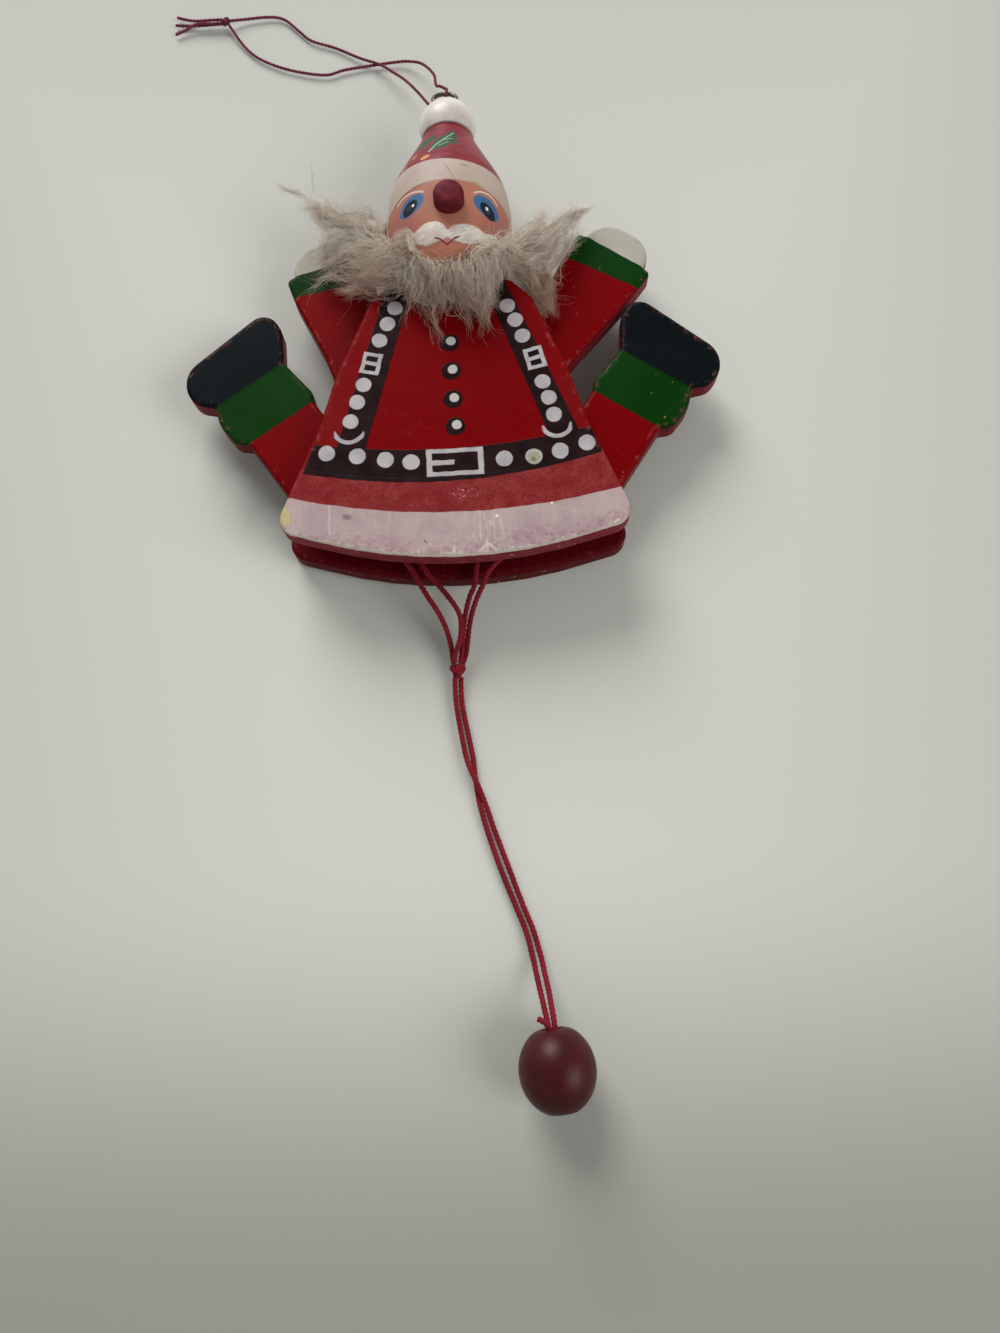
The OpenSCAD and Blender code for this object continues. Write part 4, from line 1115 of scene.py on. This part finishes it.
class JackDoll(bpy.types.PropertyGroup):
    """Colours of the head."""
    flesh: colour_setting("Flesh", "Face paint", srgb(172, 112, 90))
    band: colour_setting("Hat band", "White band of the hat", srgb(180, 162, 151))
    hat: colour_setting("Hat", "Hat paint", srgb(116, 28, 40))
    eyes: colour_setting("Eyes", "Blue of the eyes", srgb(66, 108, 150))
    nose: colour_setting("Nose", "Nose peg", srgb(108, 34, 42))
    ball: colour_setting("Ball", "Ball on the hat", srgb(216, 211, 202))


class JackHair(bpy.types.PropertyGroup):
    """The beard."""
    strands: bpy.props.IntProperty(
        name="Strands", description="Hairs in a thick lock", default=800, min=50, max=1200)
    thickness: bpy.props.FloatProperty(
        name="Thickness", description="Diameter of a hair at its root", default=0.00005,
        min=0.00003, max=0.0003, unit="LENGTH", subtype="DISTANCE", precision=5)
    colour: colour_setting("Hair", "Hair colour", srgb(228, 219, 205))


class JackCords(bpy.types.PropertyGroup):
    """The drawstring and the hanging thread."""
    cord: bpy.props.FloatProperty(
        name="Cord", description="Diameter of the drawstring cords", default=0.0013,
        min=0.0008, max=0.0016, unit="LENGTH", subtype="DISTANCE", precision=5)
    thread: bpy.props.FloatProperty(
        name="Thread", description="Diameter of the hanging thread", default=0.0008,
        min=0.0004, max=0.001, unit="LENGTH", subtype="DISTANCE", precision=5)
    cord_colour: colour_setting("Cord colour", "Colour of the drawstring", srgb(122, 20, 34))
    thread_colour: colour_setting("Thread colour", "Colour of the thread", srgb(98, 36, 50))
    bead_colour: colour_setting("Bead colour", "Paint of the bead", srgb(72, 18, 22))


class JackStage(bpy.types.PropertyGroup):
    """The floor and the light."""
    floor: colour_setting("Floor", "Colour of the floor", srgb(205, 206, 198))
    daylight: bpy.props.FloatProperty(
        name="Daylight", description="Brightness of the even light", default=0.45, min=0, max=2)
    lamp: bpy.props.FloatProperty(
        name="Lamp", description="Power of the soft lamp overhead", default=43.5, min=0, max=200,
        unit="POWER")


# Operators

class JACK_OT_boards(bpy.types.Operator):
    """Build the painted front and back boards"""
    bl_idname = "jack.boards"
    bl_label = "Boards"

    def execute(self, context):
        paint = context.scene.jack_paint
        hem = [(x, HEM_ARC_R - math.sqrt(HEM_ARC_R ** 2 - x * x), 0) for x in range(-32, 33, 8)]
        corners = hem + list(BOARD_SIDE) + [(-x, y, r) for x, y, r in reversed(BOARD_SIDE)]
        for name, z, drop, material, slot in (
                ("back_board", 0, BACK_DROP, back_paint(paint), "dark_red_board"),
                ("front_board", FRONT_Z, 0, front_paint(paint), "red_board")):
            bm, outline = plank([(x, y - drop, r) for x, y, r in corners], BOARD_T)
            bits = bmesh.new()
            for x, y in (SHOULDER, HIP):
                for side in (-1, 1):
                    if z == 0:
                        drill(bits, side * x, y, NAIL_HEAD_HOLE, -1, NAIL_RECESS)
                        drill(bits, side * x, y, NAIL_HOLE, NAIL_RECESS / 2, BOARD_T + 1)
                    else:
                        drill(bits, side * x, y, NAIL_HOLE, -1, NAIL_BITE)
            mesh = cut_from(bm, bits)
            note_inset(mesh, outline)
            mesh.transform(Matrix.Translation((0, 0, z)))
            weighted(finish_piece(name + "_wood", mesh, material, "body", (name,)))
        wood = bare_wood()
        for node in ("neck_block", "neck_dowel"):
            coat(node, wood)
        return {"FINISHED"}


class JACK_OT_limbs(bpy.types.Operator):
    """Build the arms and legs"""
    bl_idname = "jack.limbs"
    bl_label = "Arms and legs"

    def arm(self, reach):
        cuff, wrist = reach - 14.2, reach - 6.6
        return [(x, y + (ARM_SHIFT if reach < ARM_REACH else 0), r) for x, y, r in (
            (-11, -7.2, 6.4), (4, -7.2, 40), (cuff, -10.2, 20), (wrist, -10.6, 1.4),
            (wrist, -8.4, 0.6), (reach, -7.6, 6.8), (reach, 7.6, 6.8), (wrist, 8.4, 0.6),
            (wrist, 10.6, 1.4), (cuff, 10.2, 20), (4, 7.2, 40), (-11, 7.2, 6.4))]

    def execute(self, context):
        paint = context.scene.jack_paint
        arm_paint = limb_paint("arm_paint", paint, ((27.9, 0.1), (34.45, 0)),
                               (paint.mitten, srgb(177, 174, 161)))
        leg_paint = limb_paint("leg_paint", paint, ((25.2, 0), (38.1, 0)),
                               (paint.boot, srgb(13, 20, 23)))
        short = ARM_REACH - ARM_DRILL_ERROR
        for name, outline, pivot, raised, swing, material in (
                ("left_arm", self.arm(short), SHOULDER, 73, 115, arm_paint),
                ("right_arm", self.arm(ARM_REACH), SHOULDER, 55.5, 97.5, arm_paint),
                ("left_leg", LEG_OUTLINE, HIP, 55, 133, leg_paint),
                ("right_leg", LEG_OUTLINE, HIP, 56, 134, leg_paint)):
            bm, edge = plank(outline, LIMB_T)
            bits = bmesh.new()
            drill(bits, 0, 0, LIMB_NAIL_HOLE, -1, LIMB_T + 1)
            lever = PULL_TRAVEL / 2 / math.sin(math.radians(swing / 2))
            away = math.radians(180 - swing / 2 + raised)
            centre = Vector((math.cos(away), math.sin(away))) * lever
            drill(bits, centre.x, centre.y, KEYHOLE, -1, LIMB_T + 1)
            saw = Matrix.Translation((centre.x, centre.y, LIMB_T / 2)) @ Matrix.Rotation(
                away, 4, "Z") @ Matrix.Translation((KEYHOLE_SLOT_L / 2, 0, 0)) @ Matrix.Diagonal(
                (KEYHOLE_SLOT_L, KEYHOLE_SLOT_W, LIMB_T + 2, 1))
            bmesh.ops.create_cube(bits, size=1, matrix=saw)
            mesh = cut_from(bm, bits)
            note_inset(mesh, edge)
            local = np.empty(len(mesh.vertices) * 3)
            mesh.vertices.foreach_get("co", local)
            if name == "left_arm":
                local = (local.reshape(-1, 3) + (ARM_DRILL_ERROR, -ARM_SHIFT, 0)).ravel()
            mesh.attributes.new("limb_place", "FLOAT_VECTOR", "POINT").data.foreach_set(
                "vector", local)
            place = Matrix.Translation((-pivot[0], pivot[1], LIMB_Z)) @ Matrix.Rotation(
                math.radians(180 - raised), 4, "Z")
            if name.startswith("right"):
                place = Matrix.Scale(-1, 4, (1, 0, 0)) @ place
            shape = bmesh.new()
            shape.from_mesh(mesh)
            bmesh.ops.transform(shape, matrix=place, verts=shape.verts[:])
            weighted(finish_piece(name + "_wood", shape, material, name, (name,)))
        return {"FINISHED"}


class JACK_OT_head(bpy.types.Operator):
    """Build the turned head, the nose peg and the ball on the hat"""
    bl_idname = "jack.head"
    bl_label = "Head"

    def execute(self, context):
        doll = context.scene.jack_doll
        upright = Matrix.Translation((0, 0, AXIS_Z)) @ Matrix.Rotation(-math.pi / 2, 4, "X")
        curve = smooth([Vector((share * HEAD_R, y)) for share, y in HEAD_PROFILE], 5)
        bm = spun([(0, HEAD_PROFILE[0][1])] + [tuple(p) for p in curve]
                  + [(HAT_PEG_R, HEAD_PROFILE[-1][1]), (HAT_PEG_R, HAT_PEG_TOP),
                     (0, HAT_PEG_TOP)], 96)
        bmesh.ops.transform(bm, matrix=upright, verts=bm.verts[:])
        finish_piece("head_turning", bm, head_paint(doll), "body", ("head",))

        low = math.asin((HEAD_PROFILE[-1][1] - BALL_Y) / BALL_R)
        arc = [(BALL_R * math.cos(a), BALL_Y + BALL_R * math.sin(a)) for a in
               (low + (math.pi / 2 - low) * k / 26 for k in range(27))]
        bm = spun([(0, HEAD_PROFILE[-1][1] + 0.01)] + arc[:-1] + [(0, BALL_Y + BALL_R)])
        bmesh.ops.transform(bm, matrix=upright, verts=bm.verts[:])
        ball = knob_paint("ball_paint", doll.ball, srgb(192, 182, 174), 0.14, 0.28, 0.4, 0.01)
        finish_piece("hat_ball_turning", bm, ball, "body", ("hat_ball",))

        painted_shade_rim = [(NOSE_R - NOSE_DOME + NOSE_DOME * math.cos(a),
                NOSE_TIP_Z - NOSE_DOME - 0.1 + NOSE_DOME * math.sin(a))
               for a in (math.pi / 2 * k / 7 for k in range(8))]
        bm = spun([(0, NOSE_SEAT_Z), (NOSE_R, NOSE_SEAT_Z)] + painted_shade_rim
                  + [(NOSE_R * 0.3, NOSE_TIP_Z - 0.03), (0, NOSE_TIP_Z)], 48)
        bmesh.ops.translate(bm, vec=(*NOSE_AT, 0), verts=bm.verts[:])
        nose = knob_paint("nose_paint", doll.nose, srgb(84, 22, 30), 0.5, 0.42, 0.07, 0.06)
        finish_piece("nose_turning", bm, nose, "body", ("nose_peg",))
        return {"FINISHED"}


def head_radius(y):
    """The head's radius at a height, or 0 below and above it."""
    for (low_r, low_y), (high_r, high_y) in zip(HEAD_PROFILE, HEAD_PROFILE[1:]):
        if low_y - 0.6 <= y <= high_y:
            return HEAD_R * (low_r + (high_r - low_r) * max(0, y - low_y) / (high_y - low_y))
    return 0


def hairline(around):
    """The height below which the face has hair, at an angle in degrees round the head."""
    height = 69.3 + 0.0028 * (around + 6) ** 2
    if around < -31:
        height = max(height, 76.4)
    if around > 20:
        height += min(4, 0.3 * (around - 20))
    return height


def board_half_width(y):
    """The boards' half width at a height, along their side and their shoulder."""
    (wide, side_y, _), (_, shoulder_y, _) = BOARD_SIDE[0], BOARD_SIDE[3]
    return min(wide - max(0, y - side_y) * 0.385, 19.7 - (y - shoulder_y) * 1.04)


def clear_of_wood(point):
    """Moves a point of a hair off the face, the head, the boards and the arms."""
    out = Vector((point.x, point.z - AXIS_Z))
    around = math.degrees(math.atan2(out.x, out.y))
    top = hairline(around)
    if abs(around) < FACE_HALF_ANGLE and point.y > top and out.length < HEAD_R + 5:
        point.y = top - 0.12 * (point.y - top)
    radius = head_radius(point.y)
    if out.length < radius + 0.2:
        out = out.normalized() * (radius + 0.2)
        point.x, point.z = out.x, out.y + AXIS_Z
    over_board = point.y < BOARD_SIDE[-1][1] + 0.5 and abs(point.x) < board_half_width(point.y)
    point.z = max(point.z, TOP_Z + 0.15 if over_board else FRONT_Z + 0.25)
    return point


def hair_object(name, hairs, thickness, material, stands_for=()):
    """Hairs as one curve object with tapering strands, each a list of points."""
    curve = bpy.data.curves.new(name, "CURVE")
    curve.dimensions = "3D"
    curve.bevel_depth = thickness / 2
    curve.bevel_resolution = 0
    curve.use_fill_caps = True
    for points in hairs:
        spline = curve.splines.new("POLY")
        spline.points.add(len(points) - 1)
        placed = [TO_FRAME @ p for p in points]
        spline.points.foreach_set("co", [v for p in placed for v in (*p, 1)])
        last = len(points) - 1
        spline.points.foreach_set("radius", [1 - 0.75 * (i / last) ** 2 for i in range(last + 1)])
    curve.materials.append(material)
    piece = linked(name, curve)
    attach(piece, "body")
    if stands_for:
        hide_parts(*stands_for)
    return piece


def on_bare_corner(point):
    """Whether a point lies over the board's right shoulder, which shows bare."""
    x, y, z = BARE_CORNER
    return point.x > x and point.y < y and point.z > z


def fleece(lock, count, rng):
    """Fine curling hairs that run along a lock, in wisps and alone, and leave its edges loose."""
    def any_way(depth=1.0):
        return Vector((rng.gauss(0, 1), rng.gauss(0, 1), rng.gauss(0, depth)))

    def along(place):
        i = min(int(place), last - 1)
        here = line[i].lerp(line[i + 1], min(place - i, 1))
        beyond = max(0, place - last) * step
        return here.xyz + (line[last] - line[last - 1]).xyz.normalized() * beyond, here.w

    line = smooth([Vector(p) for p in lock], 8)
    last = len(line) - 1
    step = sum((b - a).xyz.length for a, b in zip(line, line[1:])) / last
    hairs = []
    while len(hairs) < count:
        start = rng.random() ** 1.1 * last
        loose = min(1, along(start)[1] / 2.2)
        beside = any_way() * 0.55
        length = min(rng.uniform(5, 13), (last - start) * step + rng.uniform(1.5, 5))
        frizzy = rng.random() < FRIZZY_SHARE
        heading = any_way(0.7).normalized() * (0.5 * length if frizzy else 0)
        turns, wave = rng.uniform(0.5, 2.2), rng.uniform(0.15, 0.75) * loose + 0.08
        side = any_way().normalized()
        other = side.cross(any_way()).normalized()
        drift = any_way() * rng.uniform(0, 2.2) * loose
        for _ in range(1 if frizzy else rng.choice((1, 1, 3, 4))):
            spread = any_way() * 0.2
            splay = any_way() * rng.choice((0.15, 0.8)) * loose
            hair = []
            for share in (k / HAIR_PARTS for k in range(HAIR_PARTS + 1)):
                centre, width = along(start + (0.2 if frizzy else 1) * length * share / step)
                angle = math.tau * turns * share
                curl = side * math.sin(angle) + other * (math.cos(angle) - 1)
                point = (centre + beside * width + spread + heading * share
                         + curl * wave * (0.4 + 0.6 * share) + (drift + splay) * share * share)
                ruffle = (noise.noise_vector(point * 0.2) * 1.5
                          + noise.noise_vector(point * 0.7) * 0.4)
                hair.append(clear_of_wood(point + ruffle * loose))
            if not any(p.z > HAIR_TOP or on_bare_corner(p) for p in hair):
                hairs.append(hair)
    return hairs


class JACK_OT_beard(bpy.types.Operator):
    """Build the beard from soft locks of hair"""
    bl_idname = "jack.beard"
    bl_label = "Beard"

    def execute(self, context):
        hair = context.scene.jack_hair
        strands = hair_colour("hair_strands", hair.colour, srgb(212, 200, 184))
        # The felted core is painted darker than the loose hairs, as painted shade of the dense hair
        # within it.
        shaded_down = hair_colour("hair_down", srgb(186, 174, 158), srgb(156, 142, 126))
        dull = hair_colour("hair_shaded", srgb(164, 148, 130), srgb(140, 124, 108))
        count = hair.strands
        noise.seed_set(HAIR_SEED)
        shades = []
        for group, locks in LOCKS.items():
            rng = random.Random("beard " + group)
            hairs = []
            shaded = SHADED_SHARE_RIGHT_FAN if group == "right_fan" else SHADED_SHARE
            for weight, lock in locks:
                hairs += fleece(lock, int(count * weight), rng)
                shades += fleece(lock, int(count * weight * shaded), rng)
            hair_object("beard_" + group, hairs, hair.thickness, strands, ("beard",))
        hair_object("beard_shades", shades, hair.thickness, dull, ("beard",))

        bm = bmesh.new()
        for lock in DOWN:
            for puff in smooth([Vector(p) for p in lock], 4):
                bmesh.ops.create_icosphere(bm, subdivisions=2, radius=puff[3] * PUFF_SHARE,
                                           matrix=Matrix.Translation(puff[:3]))
        blank = linked("beard_blank", mesh_of("beard_down", bm))
        felt = blank.modifiers.new("felt", "REMESH")
        felt.mode = "VOXEL"
        felt.voxel_size = 0.7
        soften = blank.modifiers.new("soften", "SMOOTH")
        soften.factor = 0.5
        soften.iterations = 4
        felted = taken_from(blank)
        for vert in felted.vertices:
            vert.co = clear_of_wood(vert.co.copy())
        finish_piece("beard_down", felted, shaded_down, "body", ("beard",))

        dark = hair_colour("loose_hair", srgb(96, 74, 66), srgb(70, 52, 46))
        hair_object("loose_hair", [smooth([Vector(p) for p in STRAY_HAIR], 3)],
                    hair.thickness * 1.2, dark)
        return {"FINISHED"}


class JACK_OT_strings(bpy.types.Operator):
    """Lay the strings from the limbs to the gathering knot"""
    bl_idname = "jack.strings"
    bl_label = "Limb strings"

    def execute(self, context):
        cords = context.scene.jack_cords
        yarn = twisted_yarn("drawstring", cords.cord_colour, srgb(138, 30, 44))
        wide = cords.cord / MM
        gather = knot_piece("gather_knot_yarn", GATHER_AT, *GATHER_KNOT, yarn, "pull", "cord",
                            ("gather_knot",))
        for limb, route in LIMB_STRINGS.items():
            piece, line = cord_piece(limb + "_string_yarn", route, wide, *CORD_TWIST, yarn,
                                     "pull", "cord", (limb + "_string",))
            stop = knot_piece(limb + "_stopper", route[0], *SMALL_KNOT, yarn, "pull", "cord")
            route_length(line)
        return {"FINISHED"}


class JACK_OT_pull(bpy.types.Operator):
    """Lay the pair of pull cords and thread the bead"""
    bl_idname = "jack.pull"
    bl_label = "Pull cords and bead"

    def execute(self, context):
        cords = context.scene.jack_cords
        yarn = twisted_yarn("pull_yarn", cords.cord_colour, srgb(138, 30, 44))
        middle = [Vector(p[:3]) for p in PULL_ROUTE]
        wide = cords.cord / MM

        flare = math.sin(math.radians(BEAD_END_ANGLE))
        angles = [math.radians(d) for d in range(-BEAD_END_ANGLE, BEAD_END_ANGLE + 1, 12)]
        profile = smooth([Vector((BEAD_R * math.cos(a), BEAD_L / 2 * (1 + math.sin(a) / flare)))
                          for a in angles], 4)
        bm = spun([(0, 0)] + [tuple(p) for p in profile[:-2]] + [
            (BEAD_HOLE_R + 0.7, BEAD_L - 0.05), (BEAD_HOLE_R + 0.2, BEAD_L - 0.3),
            (BEAD_HOLE_R, BEAD_L - 0.9), (BEAD_HOLE_R, BEAD_L - BEAD_HOLE_DEPTH),
            (0, BEAD_L - BEAD_HOLE_DEPTH)])
        lean = (Matrix.Translation(BEAD_AT) @ Matrix.Rotation(math.radians(BEAD_LEAN), 4, "Z")
                @ Matrix.Translation((0, -BEAD_L / 2, 0)) @ Matrix.Rotation(-math.pi / 2, 4, "X"))
        bmesh.ops.transform(bm, matrix=lean, verts=bm.verts[:])
        dip = knob_paint("bead_paint", cords.bead_colour, srgb(58, 12, 16), 0.14,
                         0.33, 0.2)
        bead = finish_piece("pull_bead_turning", bm, dip, "pull", ("pull_bead",))
        stub, _ = cord_piece("cord_stub_yarn", STUB_ROUTE, wide, *CORD_TWIST, yarn, "pull",
                             "cord", ("cord_stub",))
        for side, name, ends in ((1, "pull_cord_a", [bead, stub]), (-1, "pull_cord_b", [bead])):
            route = []
            for i, (place, row) in enumerate(zip(middle, PULL_ROUTE)):
                along = (middle[min(i + 1, len(middle) - 1)] - middle[max(i - 1, 0)]).normalized()
                across = Vector((along.y, -along.x, 0)).normalized()
                roll = math.radians(row[4])
                route.append(place + side * row[3] * (across * math.cos(roll)
                                                      + Vector((0, 0, math.sin(roll)))))
            piece, line = cord_piece(name + "_yarn", route, wide, *CORD_TWIST, yarn, "pull",
                                     "cord", (name,))
            route_length(line)
        return {"FINISHED"}


class JACK_OT_thread(bpy.types.Operator):
    """Lay the hanging thread and tie its knot"""
    bl_idname = "jack.thread"
    bl_label = "Hanging thread"

    def execute(self, context):
        cords = context.scene.jack_cords
        yarn = twisted_yarn("hanging_yarn", cords.thread_colour, srgb(130, 60, 76))
        fine = cords.thread / MM
        knot = knot_piece("thread_knot_yarn", THREAD_KNOT_AT, *SMALL_KNOT, yarn, "body",
                          "thread", ("thread_knot",))
        bm = new_cord_mesh()
        for route in TAIL_ROUTES:
            twist_along(bm, [Vector(p) for p in route], fine, *THREAD_TWIST, step=0.3, sides=10)
        tails = finish_piece("thread_tails_yarn", bm, yarn, "body", ("thread_tails",))
        for name, route in THREADS.items():
            piece, line = cord_piece(name + "_yarn", route, fine, *THREAD_TWIST, yarn, "body",
                                     "thread", (name,))
            route_length(line)
        return {"FINISHED"}


class JACK_OT_hardware(bpy.types.Operator):
    """Build the screw eye and finish the nails"""
    bl_idname = "jack.hardware"
    bl_label = "Screw eye and nails"

    def execute(self, context):
        bm = bmesh.new()
        circle = bmesh.ops.create_circle(bm, cap_ends=True, radius=EYE_WIRE_R, segments=16,
                                         matrix=Matrix.Translation((EYE_RING_R, 0, 0))
                                         @ Matrix.Rotation(math.pi / 2, 4, "X"))["verts"]
        bmesh.ops.rotate(bm, cent=(0, 0, 0), matrix=Matrix.Rotation(-math.pi / 2, 3, "Z"),
                         verts=circle)
        bmesh.ops.spin(bm, geom=bm.verts[:] + bm.edges[:] + bm.faces[:], cent=(0, 0, 0),
                       axis=(0, 0, 1), dvec=(0, 0, 0), steps=44,
                       angle=math.radians(360 - EYE_OPENING),
                       use_merge=False, use_duplicate=False)
        shank = spun([(0, -SHANK_L), (SHANK_R - 0.3, -SHANK_L), (SHANK_R, -SHANK_L + 0.6),
                      (SHANK_R, -EYE_RING_R - 0.1), (SHANK_R - 0.2, -EYE_RING_R + 0.2),
                      (0, -EYE_RING_R + 0.2)], 20)
        bmesh.ops.rotate(shank, cent=(0, 0, 0), matrix=Matrix.Rotation(-math.pi / 2, 3, "X"),
                         verts=shank.verts[:])
        joined = mesh_of("shank", shank)
        bm.from_mesh(joined)
        bpy.data.meshes.remove(joined)
        bmesh.ops.transform(bm, matrix=Matrix.Translation(EYE_CENTRE)
                            @ Matrix.Rotation(math.radians(EYE_LEAN), 4, "X"), verts=bm.verts[:])
        brass = metal("dull_brass", srgb(120, 112, 88), srgb(80, 78, 64), 0.35)
        finish_piece("screw_eye_wire", bm, brass, "body", ("screw_eye",))
        steel = metal("nail_steel", srgb(150, 148, 142), srgb(104, 98, 90), 0.35)
        for corner in ("left_shoulder", "right_shoulder", "left_hip", "right_hip"):
            coat(corner + "_nail", steel)
        return {"FINISHED"}


class JACK_OT_stage(bpy.types.Operator):
    """Set the floor, the camera and the light"""
    bl_idname = "jack.stage"
    bl_label = "Stage"

    def execute(self, context):
        scene = context.scene
        settings = scene.jack_stage
        fin = Finish("paper_floor")
        x, y, _ = fin.axes(fin.position())
        # Painted shade on the floor: darker towards the bottom, and at the far sides and the top.
        painted_shade_low = fin.below(y, -110, 48)
        painted_shade_rim = fin.above(abs(x), 120, 110).most(fin.above(y, 120, 100) * 0.7) * 0.55
        colour = fin.over(settings.floor, srgb(152, 152, 144), painted_shade_low)
        colour = fin.over(colour, srgb(150, 150, 145), painted_shade_rim)
        bm = bmesh.new()
        bmesh.ops.create_grid(bm, x_segments=4, y_segments=4, size=1.5,
                              matrix=Matrix.Translation((0, 0, -0.0004)))
        mesh = mesh_of("floor", bm)
        mesh.materials.append(fin.surface(colour, 0.8, Specular_ior_level=0.1))
        floor = linked("floor", mesh)

        camera = bpy.data.cameras.new("photo_camera")
        camera.lens = CAMERA_LENS
        camera.sensor_width = 36
        camera.sensor_fit = "AUTO"
        camera.clip_start = 0.01
        viewer = linked("photo_camera", camera)
        turned = Matrix.Identity(4)
        for axis, angle in CAMERA_TURNS:
            turned @= Matrix.Rotation(math.radians(angle), 4, axis)
        viewer.matrix_world = Matrix.Translation(CAMERA_AT) @ turned
        scene.camera = viewer

        for name, place, size, share in (("window_lamp", (-0.6, 1.7, 1.1), 1.3, 1.0),
                                         ("room_lamp", (1.5, -0.6, 1.3), 1.2, 0.4)):
            light = bpy.data.lights.new(name, "AREA")
            light.shape = "DISK"
            light.size = size
            light.energy = settings.lamp * share
            aim = (-Vector(place)).to_track_quat("-Z", "Y").to_matrix().to_4x4()
            linked(name, light).matrix_world = Matrix.Translation(place) @ aim

        world = bpy.data.worlds.new("even_light")
        world.use_nodes = True
        nodes, links = world.node_tree.nodes, world.node_tree.links
        upward = nodes.new("ShaderNodeSeparateXYZ")
        links.new(nodes.new("ShaderNodeTexCoord").outputs["Generated"], upward.inputs[0])
        dimmer = nodes.new("ShaderNodeMapRange")
        for socket, value in ((1, 0.55), (2, 0.95), (3, settings.daylight),
                              (4, settings.daylight * 0.35)):
            dimmer.inputs[socket].default_value = value
        links.new(upward.outputs[2], dimmer.inputs[0])
        background = nodes["Background"]
        background.inputs["Color"].default_value = (1, 1, 0.985, 1)
        links.new(dimmer.outputs[0], background.inputs["Strength"])
        scene.world = world
        scene.view_settings.view_transform = "Standard"
        return {"FINISHED"}


class JACK_PT_panel(bpy.types.Panel):
    """Builds the toy piece by piece"""
    bl_idname = "JACK_PT_panel"
    bl_label = "Jumping Jack"
    bl_space_type = "VIEW_3D"
    bl_region_type = "UI"
    bl_category = "Jumping Jack"

    def draw(self, context):
        for settings in GROUPS:
            box = self.layout.box()
            group = getattr(context.scene, settings)
            for name in group.__annotations__:
                box.prop(group, name)
        for operator in OPERATORS:
            self.layout.operator(operator.bl_idname)


GROUPS = {"jack_paint": JackPaint, "jack_doll": JackDoll, "jack_hair": JackHair,
          "jack_cords": JackCords, "jack_stage": JackStage}
OPERATORS = (JACK_OT_stage, JACK_OT_pull, JACK_OT_strings, JACK_OT_thread, JACK_OT_boards,
             JACK_OT_limbs, JACK_OT_head, JACK_OT_beard, JACK_OT_hardware)


def register():
    for cls in (*GROUPS.values(), *OPERATORS, JACK_PT_panel):
        bpy.utils.register_class(cls)
    for name, cls in GROUPS.items():
        setattr(bpy.types.Scene, name, bpy.props.PointerProperty(type=cls))


def unregister():
    for name in GROUPS:
        delattr(bpy.types.Scene, name)
    for cls in reversed((*GROUPS.values(), *OPERATORS, JACK_PT_panel)):
        bpy.utils.unregister_class(cls)


def main():
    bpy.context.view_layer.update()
    register()
    bpy.ops.jack.stage()
    bpy.ops.jack.pull()
    bpy.ops.jack.strings()
    bpy.ops.jack.thread()
    bpy.ops.jack.boards()
    bpy.ops.jack.limbs()
    bpy.ops.jack.head()
    bpy.ops.jack.beard()
    bpy.ops.jack.hardware()


if __name__ == "__main__":
    main()
